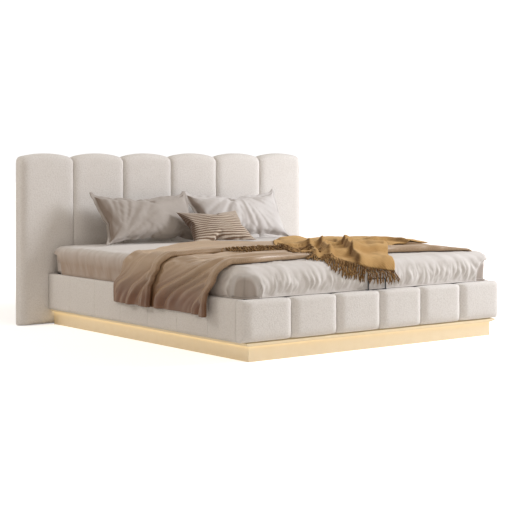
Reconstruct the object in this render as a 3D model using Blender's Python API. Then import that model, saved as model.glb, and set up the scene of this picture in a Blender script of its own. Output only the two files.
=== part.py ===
# Upholstered ottoman bed with a lifting mattress platform, in metres, +Z up.
# The origin is on the floor, under the middle of the bed. The foot end points along -Y.

import math

import bpy
import bmesh
from mathutils import Matrix, Vector

for old_object in list(bpy.data.objects):
    bpy.data.objects.remove(old_object, do_unlink=True)


# Whole bed
FRAME_WIDTH = 1.90
FRAME_LENGTH = 2.10
FRAME_TOP = 0.3245
PLINTH_HEIGHT = 0.10
HEADBOARD_OVERHANG = 0.185
HEADBOARD_WIDTH = FRAME_WIDTH + 2 * HEADBOARD_OVERHANG
HEADBOARD_HEIGHT = 1.09
HEADBOARD_DEPTH = 0.10
SEAT_GAP = 0.0003
CUT_OVERRUN = 0.02
TOP_ROUND_SHARE = 0.46

# Padded channels of the headboard
HEADBOARD_CHANNELS = 6
HEADBOARD_PAD = 0.055
HEADBOARD_LOBE_RISE = 0.029
HEADBOARD_SEAM_DEPTH = 0.015
HEADBOARD_WRAP = 0.034
HEADBOARD_TOP_RADIUS = 0.045
HEADBOARD_REAR_RADIUS = 0.018
HEADBOARD_EDGE_RADIUS = 0.035
HEADBOARD_CORNER_RADIUS = 0.050
HEADBOARD_COVER = 0.003
HEADBOARD_COVER_MARGIN = 0.006
HEADBOARD_SWELL_POWER = 5

# Padded channels of the footboard
FOOTBOARD_CHANNELS = 6
FOOTBOARD_DEPTH = 0.085
FOOTBOARD_PAD = 0.055
FOOTBOARD_LOBE_RISE = 0.006
FOOTBOARD_SEAM_DEPTH = 0.024
FOOTBOARD_WRAP = 0.026
FOOTBOARD_TOP_RADIUS = 0.024
FOOTBOARD_REAR_RADIUS = 0.010
FOOTBOARD_EDGE_RADIUS = 0.042
FOOTBOARD_CORNER_RADIUS = 0.012
FOOTBOARD_SWELL_POWER = 4

# Side rails
RAIL_BOARD = 0.025
RAIL_PAD = 0.020
RAIL_WRAP = 0.012
RAIL_TOP_RADIUS = 0.011
RAIL_INNER_RADIUS = 0.004
RAIL_PANELS = 7
RAIL_FIRST_SEAM = 0.35
RAIL_PANEL = 0.295
RAIL_SEAM_DEPTH = 0.0015
RAIL_SEAM_WIDTH = 0.004

# Plinth, its ledge and its light strip
PLINTH_SIDE_INSET = 0.045
PLINTH_FOOT_INSET = 0.040
PLINTH_BOARD = 0.018
LEDGE_THICKNESS = 0.012
LEDGE_OUTER_INSET = 0.020
LEDGE_INNER_REACH = 0.012
LIGHT_STRIP_WIDTH = 0.012
LIGHT_STRIP_HEIGHT = 0.005

# Storage floor and centre beam
STORAGE_PANEL = 0.012
CLEAT_SIZE = 0.020
CENTRE_BEAM_WIDTH = 0.020
CENTRE_BEAM_HEIGHT = 0.20

# Corner brackets and bolts
BRACKET_LEG = 0.040
BRACKET_SHEET = 0.003
BRACKET_BOTTOM = 0.175
BRACKET_HEIGHT = 0.110
BOLT_HEAD_RADIUS = 0.006
BOLT_HEAD_HEIGHT = 0.004
BOLT_RIM_SHARE = 0.6
BOLT_TIP_SHARE = 0.6
BOLT_EDGE_DISTANCE = 0.022

# Lifting platform
TUBE = 0.030
TUBE_RAIL_GAP = 0.030
STRAP_CLEARANCE = 0.0005
STRAP_THICKNESS = 0.003
PLATFORM_HEAD_GAP = 0.030
PLATFORM_FOOT_GAP = 0.050
REST_DEPTH = 0.070
REST_HEIGHT = 0.032
REST_TIP_SHARE = 0.3
REST_WIDTH = 0.060
REST_SPACING = 1.20

# Sprung slats
SLAT_COUNT = 14
SLAT_WIDTH = 0.053
SLAT_THICKNESS = 0.008
SLAT_RISE = 0.015
SLAT_HOLDER_DEPTH = 0.026
SLAT_HOLDER_WALL = 0.003
SLAT_STEPS = 4

# Swing arm lift, seen from the side: depth is the distance from the headboard's face
ARM_PIVOT_DEPTH = 0.75
ARM_ROLLER_DEPTH = 0.0306
ARM_DROP = 0.175
ARM_SWING = math.radians(35)
HORN_LENGTH = 0.208
HORN_ANGLE = math.radians(60)
ARM_PLATE = 0.005
ARM_PLATE_LAYER = 0.0225
ARM_PIVOT_BOSS = 0.024
ARM_TOP_BOSS = 0.0145
HORN_BOSS = 0.012
ARM_WINDOW_SHARE = 0.52
ARM_WINDOW_ROUND_SHARE = 0.26
BASE_SHEET = 0.003
BASE_PIVOT_BOSS = 0.029
BASE_STRUT_BOSS = 0.022
BASE_TOP_BOSS = 0.020
BASE_TOP_AHEAD = 0.032
BASE_TOP_RISE = 0.105
BASE_LOW_BOLT_SHARE = 0.5
TRACK_DEPTH = 0.022
TRACK_FLANGE = 0.003
TRACK_STOP = 0.004
TRACK_SPARE = 0.002
TRACK_FAR_SPARE = 0.028
ROLLER_RADIUS = 0.0125
ROLLER_WIDTH = 0.014
ROLLER_LAYER = 0.006
ROLLER_SHOULDER_SHARE = 0.15
ROLLER_PLAY = 0.0005
PIVOT_PIN = 0.006
TOP_PIN = 0.005
TOP_PIN_REACH = 0.012
SMALL_PIN = 0.004
PIN_PLAY = 0.0004
PIN_HEAD = 0.003
PIN_HEAD_EXTRA = 0.003
BRACKET_PLATE = 0.005
BRACKET_ROLLER_BOSS = 0.013
BRACKET_TOP_LENGTH = 0.085
BRACKET_ROUND = 0.0075

# Gas struts
STRUT_LAYER = 0.0125
STRUT_RADIUS = 0.009
STRUT_BORE = 0.0052
STRUT_ROD_RADIUS = 0.004
STRUT_EYE_RADIUS = 0.010
STRUT_EYE_WIDTH = 0.009
STRUT_NECK = 0.018
STRUT_GLAND_GAP = 0.022
STRUT_ROD_TIP_GAP = 0.022
STRUT_NECK_SHARE = 0.6
STRUT_SHOULDER_SHARE = 0.25
STRUT_SOCKET_START = 0.008
STRUT_ROD_START = 0.006

# Mattress stop and lifting hoop
HOOP_WIDTH = 0.137
HOOP_HEIGHT = 0.066
HOOP_RADIUS = 0.004
HOOP_BEND = 0.014
HOOP_FOOT_INSET = 0.045
HOOP_STRAP_WIDTH = 0.014
HOOP_STRAP_BACK = 0.002

# Mattress
MATTRESS_SIDE_INSET = 0.050
MATTRESS_WIDTH = FRAME_WIDTH - 2 * MATTRESS_SIDE_INSET
MATTRESS_HEAD_GAP = 0.035
MATTRESS_FOOT_INSET = 0.085
MATTRESS_EDGE_TOP = 0.500
MATTRESS_CROWN = 0.018
MATTRESS_BULGE = 0.026
MATTRESS_CORNER = 0.075
MATTRESS_TOP_ROLL = 0.045
MATTRESS_CORNER_STEPS = 6
MATTRESS_SIDE_STEPS = 4
MATTRESS_ROLL_STEPS = 4
MATTRESS_STRAIGHT_STEPS = 3
MATTRESS_TOP_SHARES = (0.8, 0.55, 0.3)

# Pillows
PILLOW_WIDTH = 0.74
PILLOW_HEIGHT = 0.43
PILLOW_THICKNESS = 0.150
PILLOW_EDGE = 0.006
PILLOW_LEAN = math.radians(33)
PILLOW_HEAD_GAP = 0.095
PILLOW_WAIST = 0.07
PILLOW_SAG = 0.16
PILLOW_LEFT_CENTRE = -0.305
PILLOW_RIGHT_CENTRE = 0.465
PILLOW_TURN = math.radians(2)
PILLOW_COLUMNS = 12
PILLOW_ROWS = 9
STUFFING_FLATNESS = 4
STUFFING_FULLNESS_SHARE = 0.6

# Lumbar cushion
CUSHION_WIDTH = 0.45
CUSHION_HEIGHT = 0.29
CUSHION_THICKNESS = 0.105
CUSHION_EDGE = 0.006
CUSHION_LEAN = math.radians(38)
CUSHION_TURN = math.radians(-17)
CUSHION_CENTRE_X = 0.045
CUSHION_DEPTH = 0.435
CUSHION_WAIST = 0.06
CUSHION_SAG = 0.08
CUSHION_COLUMNS = 10
CUSHION_ROWS = 8

# Blanket that crosses the mattress and hangs over the left rail
BLANKET_THICKNESS = 0.006
BLANKET_LIFT = 0.0006
BLANKET_HEM = 0.218
BLANKET_HANG_CLEARANCE = 0.004
BLANKET_SHOULDER_LIFT = 0.003
BLANKET_FOLD = 0.010
BLANKET_TOP_FOLD = 0.007
BLANKET_WAVES = 4.5
BLANKET_STEPS_ACROSS = (5, 5, 15)
BLANKET_STEPS_ALONG = 16
BLANKET_RIGHT_END = 0.84
BLANKET_FADE_SHARE = 0.25

# Throw that lies over the blanket and hangs at the foot
THROW_THICKNESS = 0.009
THROW_LIFT = 0.016
THROW_SETTLE = 0.13
THROW_FOLD = 0.016
THROW_WAVES = 3.5
THROW_FOOT_HEM = 0.398
THROW_FOOT_CLEARANCE = 0.0015
THROW_STEPS_ALONG = (3, 5, 13)
THROW_STEPS_ACROSS = 16

# Mesh fineness
CHANNEL_COLUMNS = 6
ARC_STEPS = 3
PIN_SEGMENTS = 16
ROUND_SEGMENTS = 20
ROLLER_SEGMENTS = 24
HOOP_SEGMENTS = 12
HOOP_BEND_STEPS = 4
BOLT_SEGMENTS = 8

# Places that follow from the sizes above
BED_LENGTH = FRAME_LENGTH + HEADBOARD_DEPTH
FOOT_Y = -BED_LENGTH / 2
HEAD_Y = FOOT_Y + FRAME_LENGTH
BACK_Y = BED_LENGTH / 2
FRAME_HALF = FRAME_WIDTH / 2
RAIL_INNER = FRAME_HALF - RAIL_PAD - RAIL_BOARD
PLINTH_OUTER = FRAME_HALF - PLINTH_SIDE_INSET
PLINTH_INNER = PLINTH_OUTER - PLINTH_BOARD
PLINTH_FOOT_Y = FOOT_Y + PLINTH_FOOT_INSET
PLINTH_FOOT_INNER_Y = PLINTH_FOOT_Y + PLINTH_BOARD
LEDGE_TOP = PLINTH_HEIGHT - SEAT_GAP
LEDGE_BOTTOM = LEDGE_TOP - LEDGE_THICKNESS
RAIL_START_Y = FOOT_Y + FOOTBOARD_DEPTH + SEAT_GAP
RAIL_END_Y = HEAD_Y - SEAT_GAP
STRAP_BOTTOM = FRAME_TOP + STRAP_CLEARANCE
MATTRESS_BOTTOM = STRAP_BOTTOM + STRAP_THICKNESS + STRAP_CLEARANCE
TUBE_TOP = STRAP_BOTTOM - SEAT_GAP
TUBE_BOTTOM = TUBE_TOP - TUBE
TUBE_OUTER = RAIL_INNER - TUBE_RAIL_GAP
TUBE_INNER = TUBE_OUTER - TUBE
PLATFORM_HEAD_Y = HEAD_Y - PLATFORM_HEAD_GAP
PLATFORM_FOOT_Y = FOOT_Y + FOOTBOARD_DEPTH + PLATFORM_FOOT_GAP
ARM_RUN = (ARM_PIVOT_DEPTH - ARM_ROLLER_DEPTH) / 2
ARM_LENGTH = math.hypot(ARM_RUN, ARM_DROP)
ARM_REST_ANGLE = math.atan2(ARM_DROP, ARM_RUN)
ARM_TOP_Z = TUBE_TOP - TUBE / 2
ARM_BASE_Z = ARM_TOP_Z - ARM_DROP
ARM_BASE_Y = HEAD_Y - ARM_PIVOT_DEPTH
ARM_TOP_Y = ARM_BASE_Y + ARM_RUN
ROLLER_Y = ARM_TOP_Y + ARM_RUN
HORN_Y = ARM_BASE_Y + HORN_LENGTH * math.cos(HORN_ANGLE)
HORN_Z = ARM_BASE_Z + HORN_LENGTH * math.sin(HORN_ANGLE)
STRUT_BASE_Y = ARM_BASE_Y + HORN_LENGTH
ROLLER_OPEN_Y = ARM_BASE_Y + 2 * ARM_LENGTH * math.cos(ARM_REST_ANGLE + ARM_SWING)
TRACK_HEAD_Y = ROLLER_Y + ROLLER_RADIUS + TRACK_STOP + TRACK_SPARE
TRACK_FOOT_Y = ROLLER_OPEN_Y - ROLLER_RADIUS - TRACK_FAR_SPARE
MATTRESS_HEAD_Y = HEAD_Y - MATTRESS_HEAD_GAP
MATTRESS_FOOT_Y = FOOT_Y + MATTRESS_FOOT_INSET
MATTRESS_MIDDLE_Y = (MATTRESS_HEAD_Y + MATTRESS_FOOT_Y) / 2
MATTRESS_HALF_LENGTH = (MATTRESS_HEAD_Y - MATTRESS_FOOT_Y) / 2
MATTRESS_HALF_WIDTH = MATTRESS_WIDTH / 2


# Materials

def colour(hex_code):
    """Linear colour from a six-figure screen colour."""
    values = [int(hex_code[i:i + 2], 16) / 255 for i in (0, 2, 4)]
    linear = [v / 12.92 if v <= 0.04045 else ((v + 0.055) / 1.055) ** 2.4 for v in values]
    return (*linear, 1.0)


def make_material(name, hex_code, roughness, metallic=0.0):
    """A plain surface with one colour."""
    material = bpy.data.materials.new(name)
    material.use_nodes = True
    shader = material.node_tree.nodes["Principled BSDF"]
    shader.inputs["Base Color"].default_value = colour(hex_code)
    shader.inputs["Roughness"].default_value = roughness
    shader.inputs["Metallic"].default_value = metallic
    material.diffuse_color = colour(hex_code)
    return material


BOUCLE = make_material("off_white_boucle", "e6e0d8", 0.95)
PLYWOOD = make_material("birch_plywood", "c9a878", 0.6)
LINING = make_material("black_dust_cover", "2b2a2a", 0.95)
PLINTH_PAINT = make_material("cream_plinth_paint", "ead9b8", 0.5)
LIGHT_PROFILE = make_material("light_strip_diffuser", "ffe9bd", 0.4)
STORAGE_BOARD = make_material("grey_storage_board", "8d8a86", 0.7)
ZINC_STEEL = make_material("zinc_plated_steel", "b9bcc0", 0.35, 1.0)
BLACK_STEEL = make_material("black_powder_coat", "232325", 0.45, 0.6)
SLAT_BEECH = make_material("beech_slats", "d8b98a", 0.5)
NYLON = make_material("black_nylon", "1c1c1e", 0.5)
CHROME_ROD = make_material("chromed_rod", "d5d7da", 0.15, 1.0)
FITTED_SHEET = make_material("pale_grey_fitted_sheet", "cfc6bd", 0.85)
PILLOWCASE = make_material("grey_beige_pillowcase", "c6bdb4", 0.85)
STRIPED_KNIT = make_material("brown_striped_knit", "a58e78", 0.9)
TAUPE_SATEEN = make_material("taupe_sateen", "a18a72", 0.5)
MUSTARD_WOOL = make_material("mustard_wool", "b08a50", 0.95)


# Mesh tools

def new_object(name, vertices, faces, material, smooth_angle=None):
    """An object from its points and faces, with every face turned outwards."""
    mesh = bpy.data.meshes.new(name)
    mesh.from_pydata([tuple(v) for v in vertices], [], faces)
    builder = bmesh.new()
    builder.from_mesh(mesh)
    bmesh.ops.recalc_face_normals(builder, faces=builder.faces)
    builder.to_mesh(mesh)
    builder.free()
    if smooth_angle is not None:
        mesh.shade_smooth()
        mesh.set_sharp_from_angle(angle=smooth_angle)
    item = bpy.data.objects.new(name, mesh)
    item.data.materials.append(material)
    bpy.context.scene.collection.objects.link(item)
    return item


SOFT_ANGLE = math.radians(50)
ROUND_ANGLE = math.radians(35)


def loft(name, loops, material, smooth_angle=None):
    """A closed skin through loops of equal length, with a flat face at each end."""
    count = len(loops[0])
    vertices = [point for loop in loops for point in loop]
    faces = []
    for row in range(len(loops) - 1):
        for column in range(count):
            following = (column + 1) % count
            faces.append((
                row * count + column,
                row * count + following,
                (row + 1) * count + following,
                (row + 1) * count + column,
            ))
    last = (len(loops) - 1) * count
    faces.append(tuple(range(count)))
    faces.append(tuple(range(last, last + count)))
    return new_object(name, vertices, faces, material, smooth_angle)


def box(name, low, high, material):
    """A plain block between two corners."""
    loops = []
    for z in (low[2], high[2]):
        loops.append([
            (low[0], low[1], z),
            (high[0], low[1], z),
            (high[0], high[1], z),
            (low[0], high[1], z),
        ])
    return loft(name, loops, material)


def plate_x(name, outline, x_first, x_second, material, smooth_angle=None):
    """A flat plate square to X, from an outline in Y and Z."""
    loops = [[(x, y, z) for y, z in outline] for x in (x_first, x_second)]
    return loft(name, loops, material, smooth_angle)


def turned(name, start, direction, profile, material, segments=PIN_SEGMENTS):
    """A turned piece whose profile lists distance along the axis and radius."""
    axis = Vector(direction).normalized()
    side = axis.orthogonal().normalized()
    other = axis.cross(side)
    loops = []
    for along, radius in profile:
        centre = Vector(start) + axis * along
        loop = []
        for step in range(segments):
            angle = math.tau * step / segments
            loop.append(centre + side * radius * math.cos(angle) + other * radius * math.sin(angle))
        loops.append(loop)
    return loft(name, loops, material, ROUND_ANGLE)


def ring(name, start, direction, profile, material, segments=ROLLER_SEGMENTS):
    """A turned ring whose closed profile lists distance along the axis and radius."""
    axis = Vector(direction).normalized()
    side = axis.orthogonal().normalized()
    other = axis.cross(side)
    vertices = []
    faces = []
    count = len(profile)
    for step in range(segments):
        angle = math.tau * step / segments
        outward = side * math.cos(angle) + other * math.sin(angle)
        vertices.extend(Vector(start) + axis * along + outward * radius for along, radius in profile)
        following = (step + 1) % segments
        for index in range(count):
            after = (index + 1) % count
            faces.append((
                step * count + index,
                step * count + after,
                following * count + after,
                following * count + index,
            ))
    return new_object(name, vertices, faces, material, ROUND_ANGLE)


def hull_of_circles(circles, segments=ROUND_SEGMENTS):
    """The tight belt round circles given as centre and radius."""
    points = []
    for first, second, radius in circles:
        for step in range(segments):
            angle = math.tau * step / segments
            points.append((first + radius * math.cos(angle), second + radius * math.sin(angle)))
    points.sort()

    def half_belt(ordered):
        belt = []
        for point in ordered:
            while len(belt) > 1:
                (ax, ay), (bx, by) = belt[-2], belt[-1]
                turn = (bx - ax) * (point[1] - ay) - (by - ay) * (point[0] - ax)
                if turn > 0:
                    break
                belt.pop()
            belt.append(point)
        return belt[:-1]

    return half_belt(points) + half_belt(points[::-1])


def as_tool(tool):
    """Hides a shape that only cuts or adds to another."""
    tool.hide_render = True
    tool.display_type = "WIRE"
    return tool


def combine(item, tool, operation):
    """Adds a Boolean step to an object."""
    modifier = item.modifiers.new(operation.lower(), "BOOLEAN")
    modifier.operation = operation
    modifier.solver = "EXACT"
    modifier.object = as_tool(tool)
    return item


def cut(item, tool):
    return combine(item, tool, "DIFFERENCE")


def weld(item, tool):
    return combine(item, tool, "UNION")


def join(name, items):
    """One object from several separate solids."""
    vertices = []
    faces = []
    material = items[0].data.materials[0]
    for item in items:
        start = len(vertices)
        vertices.extend(item.matrix_basis @ v.co for v in item.data.vertices)
        faces.extend(tuple(start + i for i in polygon.vertices) for polygon in item.data.polygons)
        bpy.data.objects.remove(item, do_unlink=True)
    return new_object(name, vertices, faces, material, ROUND_ANGLE)


def set_origin(item, point):
    """Moves an object's origin without moving its shape."""
    shift = Vector(point)
    item.data.transform(Matrix.Translation(-shift))
    item.location = shift
    return item


def rounding(radius, distance):
    """How far a rounded edge falls back at a distance from its end."""
    if distance >= radius:
        return 0.0
    return radius - math.sqrt(max(radius ** 2 - (radius - distance) ** 2, 0.0))


def arc(centre, radius, first_angle, last_angle, steps=ARC_STEPS):
    """Points of an arc in a plane, in degrees."""
    points = []
    for step in range(steps + 1):
        angle = math.radians(first_angle + (last_angle - first_angle) * step / steps)
        points.append((centre[0] + radius * math.cos(angle), centre[1] + radius * math.sin(angle)))
    return points


# Channelled upholstery

class Padding:
    """Sizes shared by the channels of one padded board."""

    def __init__(self, width, count, front, back, bottom, top, rise, seam, power,
                 top_radius, rear_radius, edge_radius, corner_radius):
        self.width = width
        self.count = count
        self.front = front
        self.back = back
        self.bottom = bottom
        self.top = top
        self.rise = rise
        self.seam = seam
        self.power = power
        self.top_radius = top_radius
        self.rear_radius = rear_radius
        self.edge_radius = edge_radius
        self.corner_radius = corner_radius
        self.pitch = width / count

    def share(self, x):
        """0 on a channel's middle line and 1 at its seams."""
        along = (x + self.width / 2) / self.pitch
        inside = min(max(math.floor(along), 0), self.count - 1)
        return min(abs(along - inside - 0.5) * 2, 1.0)

    def crest(self, x):
        """Height of the scalloped top."""
        to_end = self.width / 2 - abs(x)
        return self.top - self.rise * self.share(x) ** 2 - rounding(self.corner_radius, to_end)

    def section(self, x, outer):
        """One upright slice, from the front foot over the top to the rear foot."""
        to_end = self.width / 2 - abs(x)
        if outer:
            front = self.front + rounding(self.edge_radius, to_end)
            back = self.back - rounding(self.rear_radius, to_end)
        else:
            swell = (1 - self.share(x) ** self.power) ** (1 / self.power)
            front = self.front + self.seam * (1 - swell)
            back = self.back
        crest = self.crest(x)
        most = (back - front) * TOP_ROUND_SHARE
        front_radius = min(self.top_radius, most)
        rear_radius = min(self.rear_radius, most)
        outline = [(front, self.bottom)]
        outline += arc((front + front_radius, crest - front_radius), front_radius, 180, 90)
        outline += arc((back - rear_radius, crest - rear_radius), rear_radius, 90, 0)
        outline.append((back, self.bottom))
        return [(x, y, z) for y, z in outline]

    def channel(self, index, name, material):
        """One padded channel between two seams."""
        middle = -self.width / 2 + self.pitch * (index + 0.5)
        half = self.pitch / 2 - SEAT_GAP / 2
        loops = []
        for column in range(-CHANNEL_COLUMNS, CHANNEL_COLUMNS + 1):
            x = middle + half * math.sin(math.pi / 2 * column / CHANNEL_COLUMNS)
            outer = (index == 0 and column < 0) or (index == self.count - 1 and column > 0)
            loops.append(self.section(x, outer))
        return loft(name, loops, material, SOFT_ANGLE)

    def board_outline(self, wrap, bottom):
        """Outline in X and Z of the board that the channels wrap round."""
        half = self.width / 2 - wrap
        outline = [(-half, bottom), (half, bottom)]
        steps = self.count * CHANNEL_COLUMNS
        for step in range(steps + 1):
            x = half - 2 * half * step / steps
            outline.append((x, self.crest(x) - wrap))
        return outline

    def board(self, name, wrap, bottom, front, back, material):
        outline = self.board_outline(wrap, bottom)
        loops = [[(x, y, z) for x, z in outline] for y in (front, back)]
        return loft(name, loops, material)


def build_headboard():
    padding = Padding(
        HEADBOARD_WIDTH, HEADBOARD_CHANNELS, HEAD_Y, BACK_Y, 0.0, HEADBOARD_HEIGHT,
        HEADBOARD_LOBE_RISE, HEADBOARD_SEAM_DEPTH, HEADBOARD_SWELL_POWER,
        HEADBOARD_TOP_RADIUS, HEADBOARD_REAR_RADIUS, HEADBOARD_EDGE_RADIUS, HEADBOARD_CORNER_RADIUS)
    board_front = HEAD_Y + HEADBOARD_PAD
    cover_front = BACK_Y - HEADBOARD_COVER
    pocket = padding.board(
        "headboard_pocket", HEADBOARD_WRAP - SEAT_GAP, -CUT_OVERRUN,
        board_front - SEAT_GAP, BACK_Y + CUT_OVERRUN, PLYWOOD)
    for index in range(HEADBOARD_CHANNELS):
        cut(padding.channel(index, f"headboard_channel_{index + 1}", BOUCLE), pocket)
    padding.board("headboard_board", HEADBOARD_WRAP, 0.0, board_front, cover_front - SEAT_GAP, PLYWOOD)
    padding.board(
        "headboard_back_cover", HEADBOARD_WRAP + HEADBOARD_COVER_MARGIN, HEADBOARD_COVER_MARGIN,
        cover_front, BACK_Y - SEAT_GAP, LINING)


def build_footboard():
    padding = Padding(
        FRAME_WIDTH, FOOTBOARD_CHANNELS, FOOT_Y, FOOT_Y + FOOTBOARD_DEPTH, PLINTH_HEIGHT, FRAME_TOP,
        FOOTBOARD_LOBE_RISE, FOOTBOARD_SEAM_DEPTH, FOOTBOARD_SWELL_POWER,
        FOOTBOARD_TOP_RADIUS, FOOTBOARD_REAR_RADIUS, FOOTBOARD_EDGE_RADIUS, FOOTBOARD_CORNER_RADIUS)
    board_front = FOOT_Y + FOOTBOARD_PAD
    board_back = FOOT_Y + FOOTBOARD_DEPTH
    pocket = padding.board(
        "footboard_pocket", FOOTBOARD_WRAP - SEAT_GAP, PLINTH_HEIGHT - CUT_OVERRUN,
        board_front - SEAT_GAP, board_back + CUT_OVERRUN, PLYWOOD)
    for index in range(FOOTBOARD_CHANNELS):
        cut(padding.channel(index, f"footboard_channel_{index + 1}", BOUCLE), pocket)
    padding.board("footboard_board", FOOTBOARD_WRAP, PLINTH_HEIGHT, board_front, board_back, PLYWOOD)


# Side rails

def rail_pad_section(side, y, depth):
    """Slice of the padding that covers a rail's outer face and top edge."""
    outer = FRAME_HALF - depth
    board_outer = RAIL_INNER + RAIL_BOARD + SEAT_GAP
    board_top = FRAME_TOP - RAIL_WRAP + SEAT_GAP
    outline = [(board_outer, PLINTH_HEIGHT), (outer, PLINTH_HEIGHT)]
    outline += arc((outer - RAIL_TOP_RADIUS, FRAME_TOP - RAIL_TOP_RADIUS), RAIL_TOP_RADIUS, 0, 90)
    inner_centre = (RAIL_INNER + RAIL_INNER_RADIUS, FRAME_TOP - RAIL_INNER_RADIUS)
    outline += arc(inner_centre, RAIL_INNER_RADIUS, 90, 180)
    outline += [(RAIL_INNER, board_top), (board_outer, board_top)]
    return [(side * x, y, z) for x, z in outline]


def build_side_rail(side, hand):
    """A padded rail between the footboard and the headboard."""
    board_outer = RAIL_INNER + RAIL_BOARD
    edges = sorted((side * RAIL_INNER, side * board_outer))
    box(f"side_rail_board_{hand}",
        (edges[0], RAIL_START_Y, PLINTH_HEIGHT),
        (edges[1], RAIL_END_Y, FRAME_TOP - RAIL_WRAP), PLYWOOD)
    stations = [(RAIL_START_Y, 0.0)]
    for seam in range(RAIL_PANELS - 1):
        y = FOOT_Y + RAIL_FIRST_SEAM + RAIL_PANEL * seam
        stations += [(y - RAIL_SEAM_WIDTH / 2, 0.0), (y, RAIL_SEAM_DEPTH), (y + RAIL_SEAM_WIDTH / 2, 0.0)]
    stations.append((RAIL_END_Y, 0.0))
    loops = [rail_pad_section(side, y, depth) for y, depth in stations]
    loft(f"side_rail_pad_{hand}", loops, BOUCLE, ROUND_ANGLE)


# Plinth, light strip, storage floor

def build_plinth():
    """Recessed plinth boards, each with the ledge that carries the frame above it."""
    wall_top = LEDGE_BOTTOM - SEAT_GAP
    ledge_middle = (LEDGE_BOTTOM + LEDGE_TOP) / 2
    ledge_outer = FRAME_HALF - LEDGE_OUTER_INSET
    ledge_inner = PLINTH_INNER - LEDGE_INNER_REACH
    start_y = PLINTH_FOOT_INNER_Y + SEAT_GAP
    for side, hand in ((-1, "left"), (1, "right")):
        outline = [
            (start_y, 0.0),
            (RAIL_END_Y, 0.0),
            (RAIL_END_Y, ledge_middle),
            (RAIL_START_Y, ledge_middle),
            (RAIL_START_Y, wall_top),
            (start_y, wall_top),
        ]
        wall = plate_x(f"plinth_{hand}", outline, side * PLINTH_INNER, side * PLINTH_OUTER, PLINTH_PAINT)
        ledge = sorted((side * ledge_inner, side * ledge_outer))
        weld(wall, box("plinth_ledge", (ledge[0], RAIL_START_Y, LEDGE_BOTTOM),
                       (ledge[1], RAIL_END_Y, LEDGE_TOP), PLINTH_PAINT))
        cleat = sorted((side * (PLINTH_INNER - CLEAT_SIZE), side * (PLINTH_INNER + PLINTH_BOARD / 2)))
        weld(wall, box("plinth_cleat", (cleat[0], start_y, 0.0),
                       (cleat[1], RAIL_END_Y, CLEAT_SIZE - SEAT_GAP), PLINTH_PAINT))
    foot_outline = [
        (PLINTH_FOOT_Y, 0.0),
        (PLINTH_FOOT_INNER_Y, 0.0),
        (PLINTH_FOOT_INNER_Y, ledge_middle),
        (PLINTH_FOOT_Y, ledge_middle),
    ]
    foot = plate_x("plinth_foot", foot_outline, -PLINTH_OUTER, PLINTH_OUTER, PLINTH_PAINT)
    weld(foot, box("plinth_foot_ledge", (-ledge_outer, FOOT_Y + LEDGE_OUTER_INSET, LEDGE_BOTTOM),
                   (ledge_outer, RAIL_START_Y - SEAT_GAP, LEDGE_TOP), PLINTH_PAINT))


def build_light_strip():
    """One light strip under the ledges, round the outside of the plinth."""
    side_inner = PLINTH_OUTER + SEAT_GAP
    side_outer = side_inner + LIGHT_STRIP_WIDTH
    foot_inner = PLINTH_FOOT_Y - SEAT_GAP
    foot_outer = foot_inner - LIGHT_STRIP_WIDTH
    outline = [
        (-side_outer, RAIL_END_Y),
        (-side_outer, foot_outer),
        (side_outer, foot_outer),
        (side_outer, RAIL_END_Y),
        (side_inner, RAIL_END_Y),
        (side_inner, foot_inner),
        (-side_inner, foot_inner),
        (-side_inner, RAIL_END_Y),
    ]
    top = LEDGE_BOTTOM - SEAT_GAP
    loops = [[(x, y, z) for x, y in outline] for z in (top - LIGHT_STRIP_HEIGHT, top)]
    loft("light_strip", loops, LIGHT_PROFILE)


def build_storage():
    """The two halves of the storage floor and the beam between them."""
    start = PLINTH_FOOT_INNER_Y + SEAT_GAP
    beam_half = CENTRE_BEAM_WIDTH / 2
    cleat_half = beam_half + CLEAT_SIZE
    cleat_top = CLEAT_SIZE - SEAT_GAP
    outline = [
        (-cleat_half, 0.0),
        (cleat_half, 0.0),
        (cleat_half, cleat_top),
        (beam_half, cleat_top),
        (beam_half, CENTRE_BEAM_HEIGHT),
        (-beam_half, CENTRE_BEAM_HEIGHT),
        (-beam_half, cleat_top),
        (-cleat_half, cleat_top),
    ]
    loft("centre_beam", [[(x, y, z) for x, z in outline] for y in (RAIL_START_Y, RAIL_END_Y)], PLYWOOD)
    for side, hand in ((-1, "left"), (1, "right")):
        edges = sorted((side * (beam_half + SEAT_GAP), side * (PLINTH_INNER - SEAT_GAP)))
        box(f"storage_floor_{hand}", (edges[0], start, CLEAT_SIZE),
            (edges[1], RAIL_END_Y, CLEAT_SIZE + STORAGE_PANEL), STORAGE_BOARD)


# Corner brackets and bolts

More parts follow.
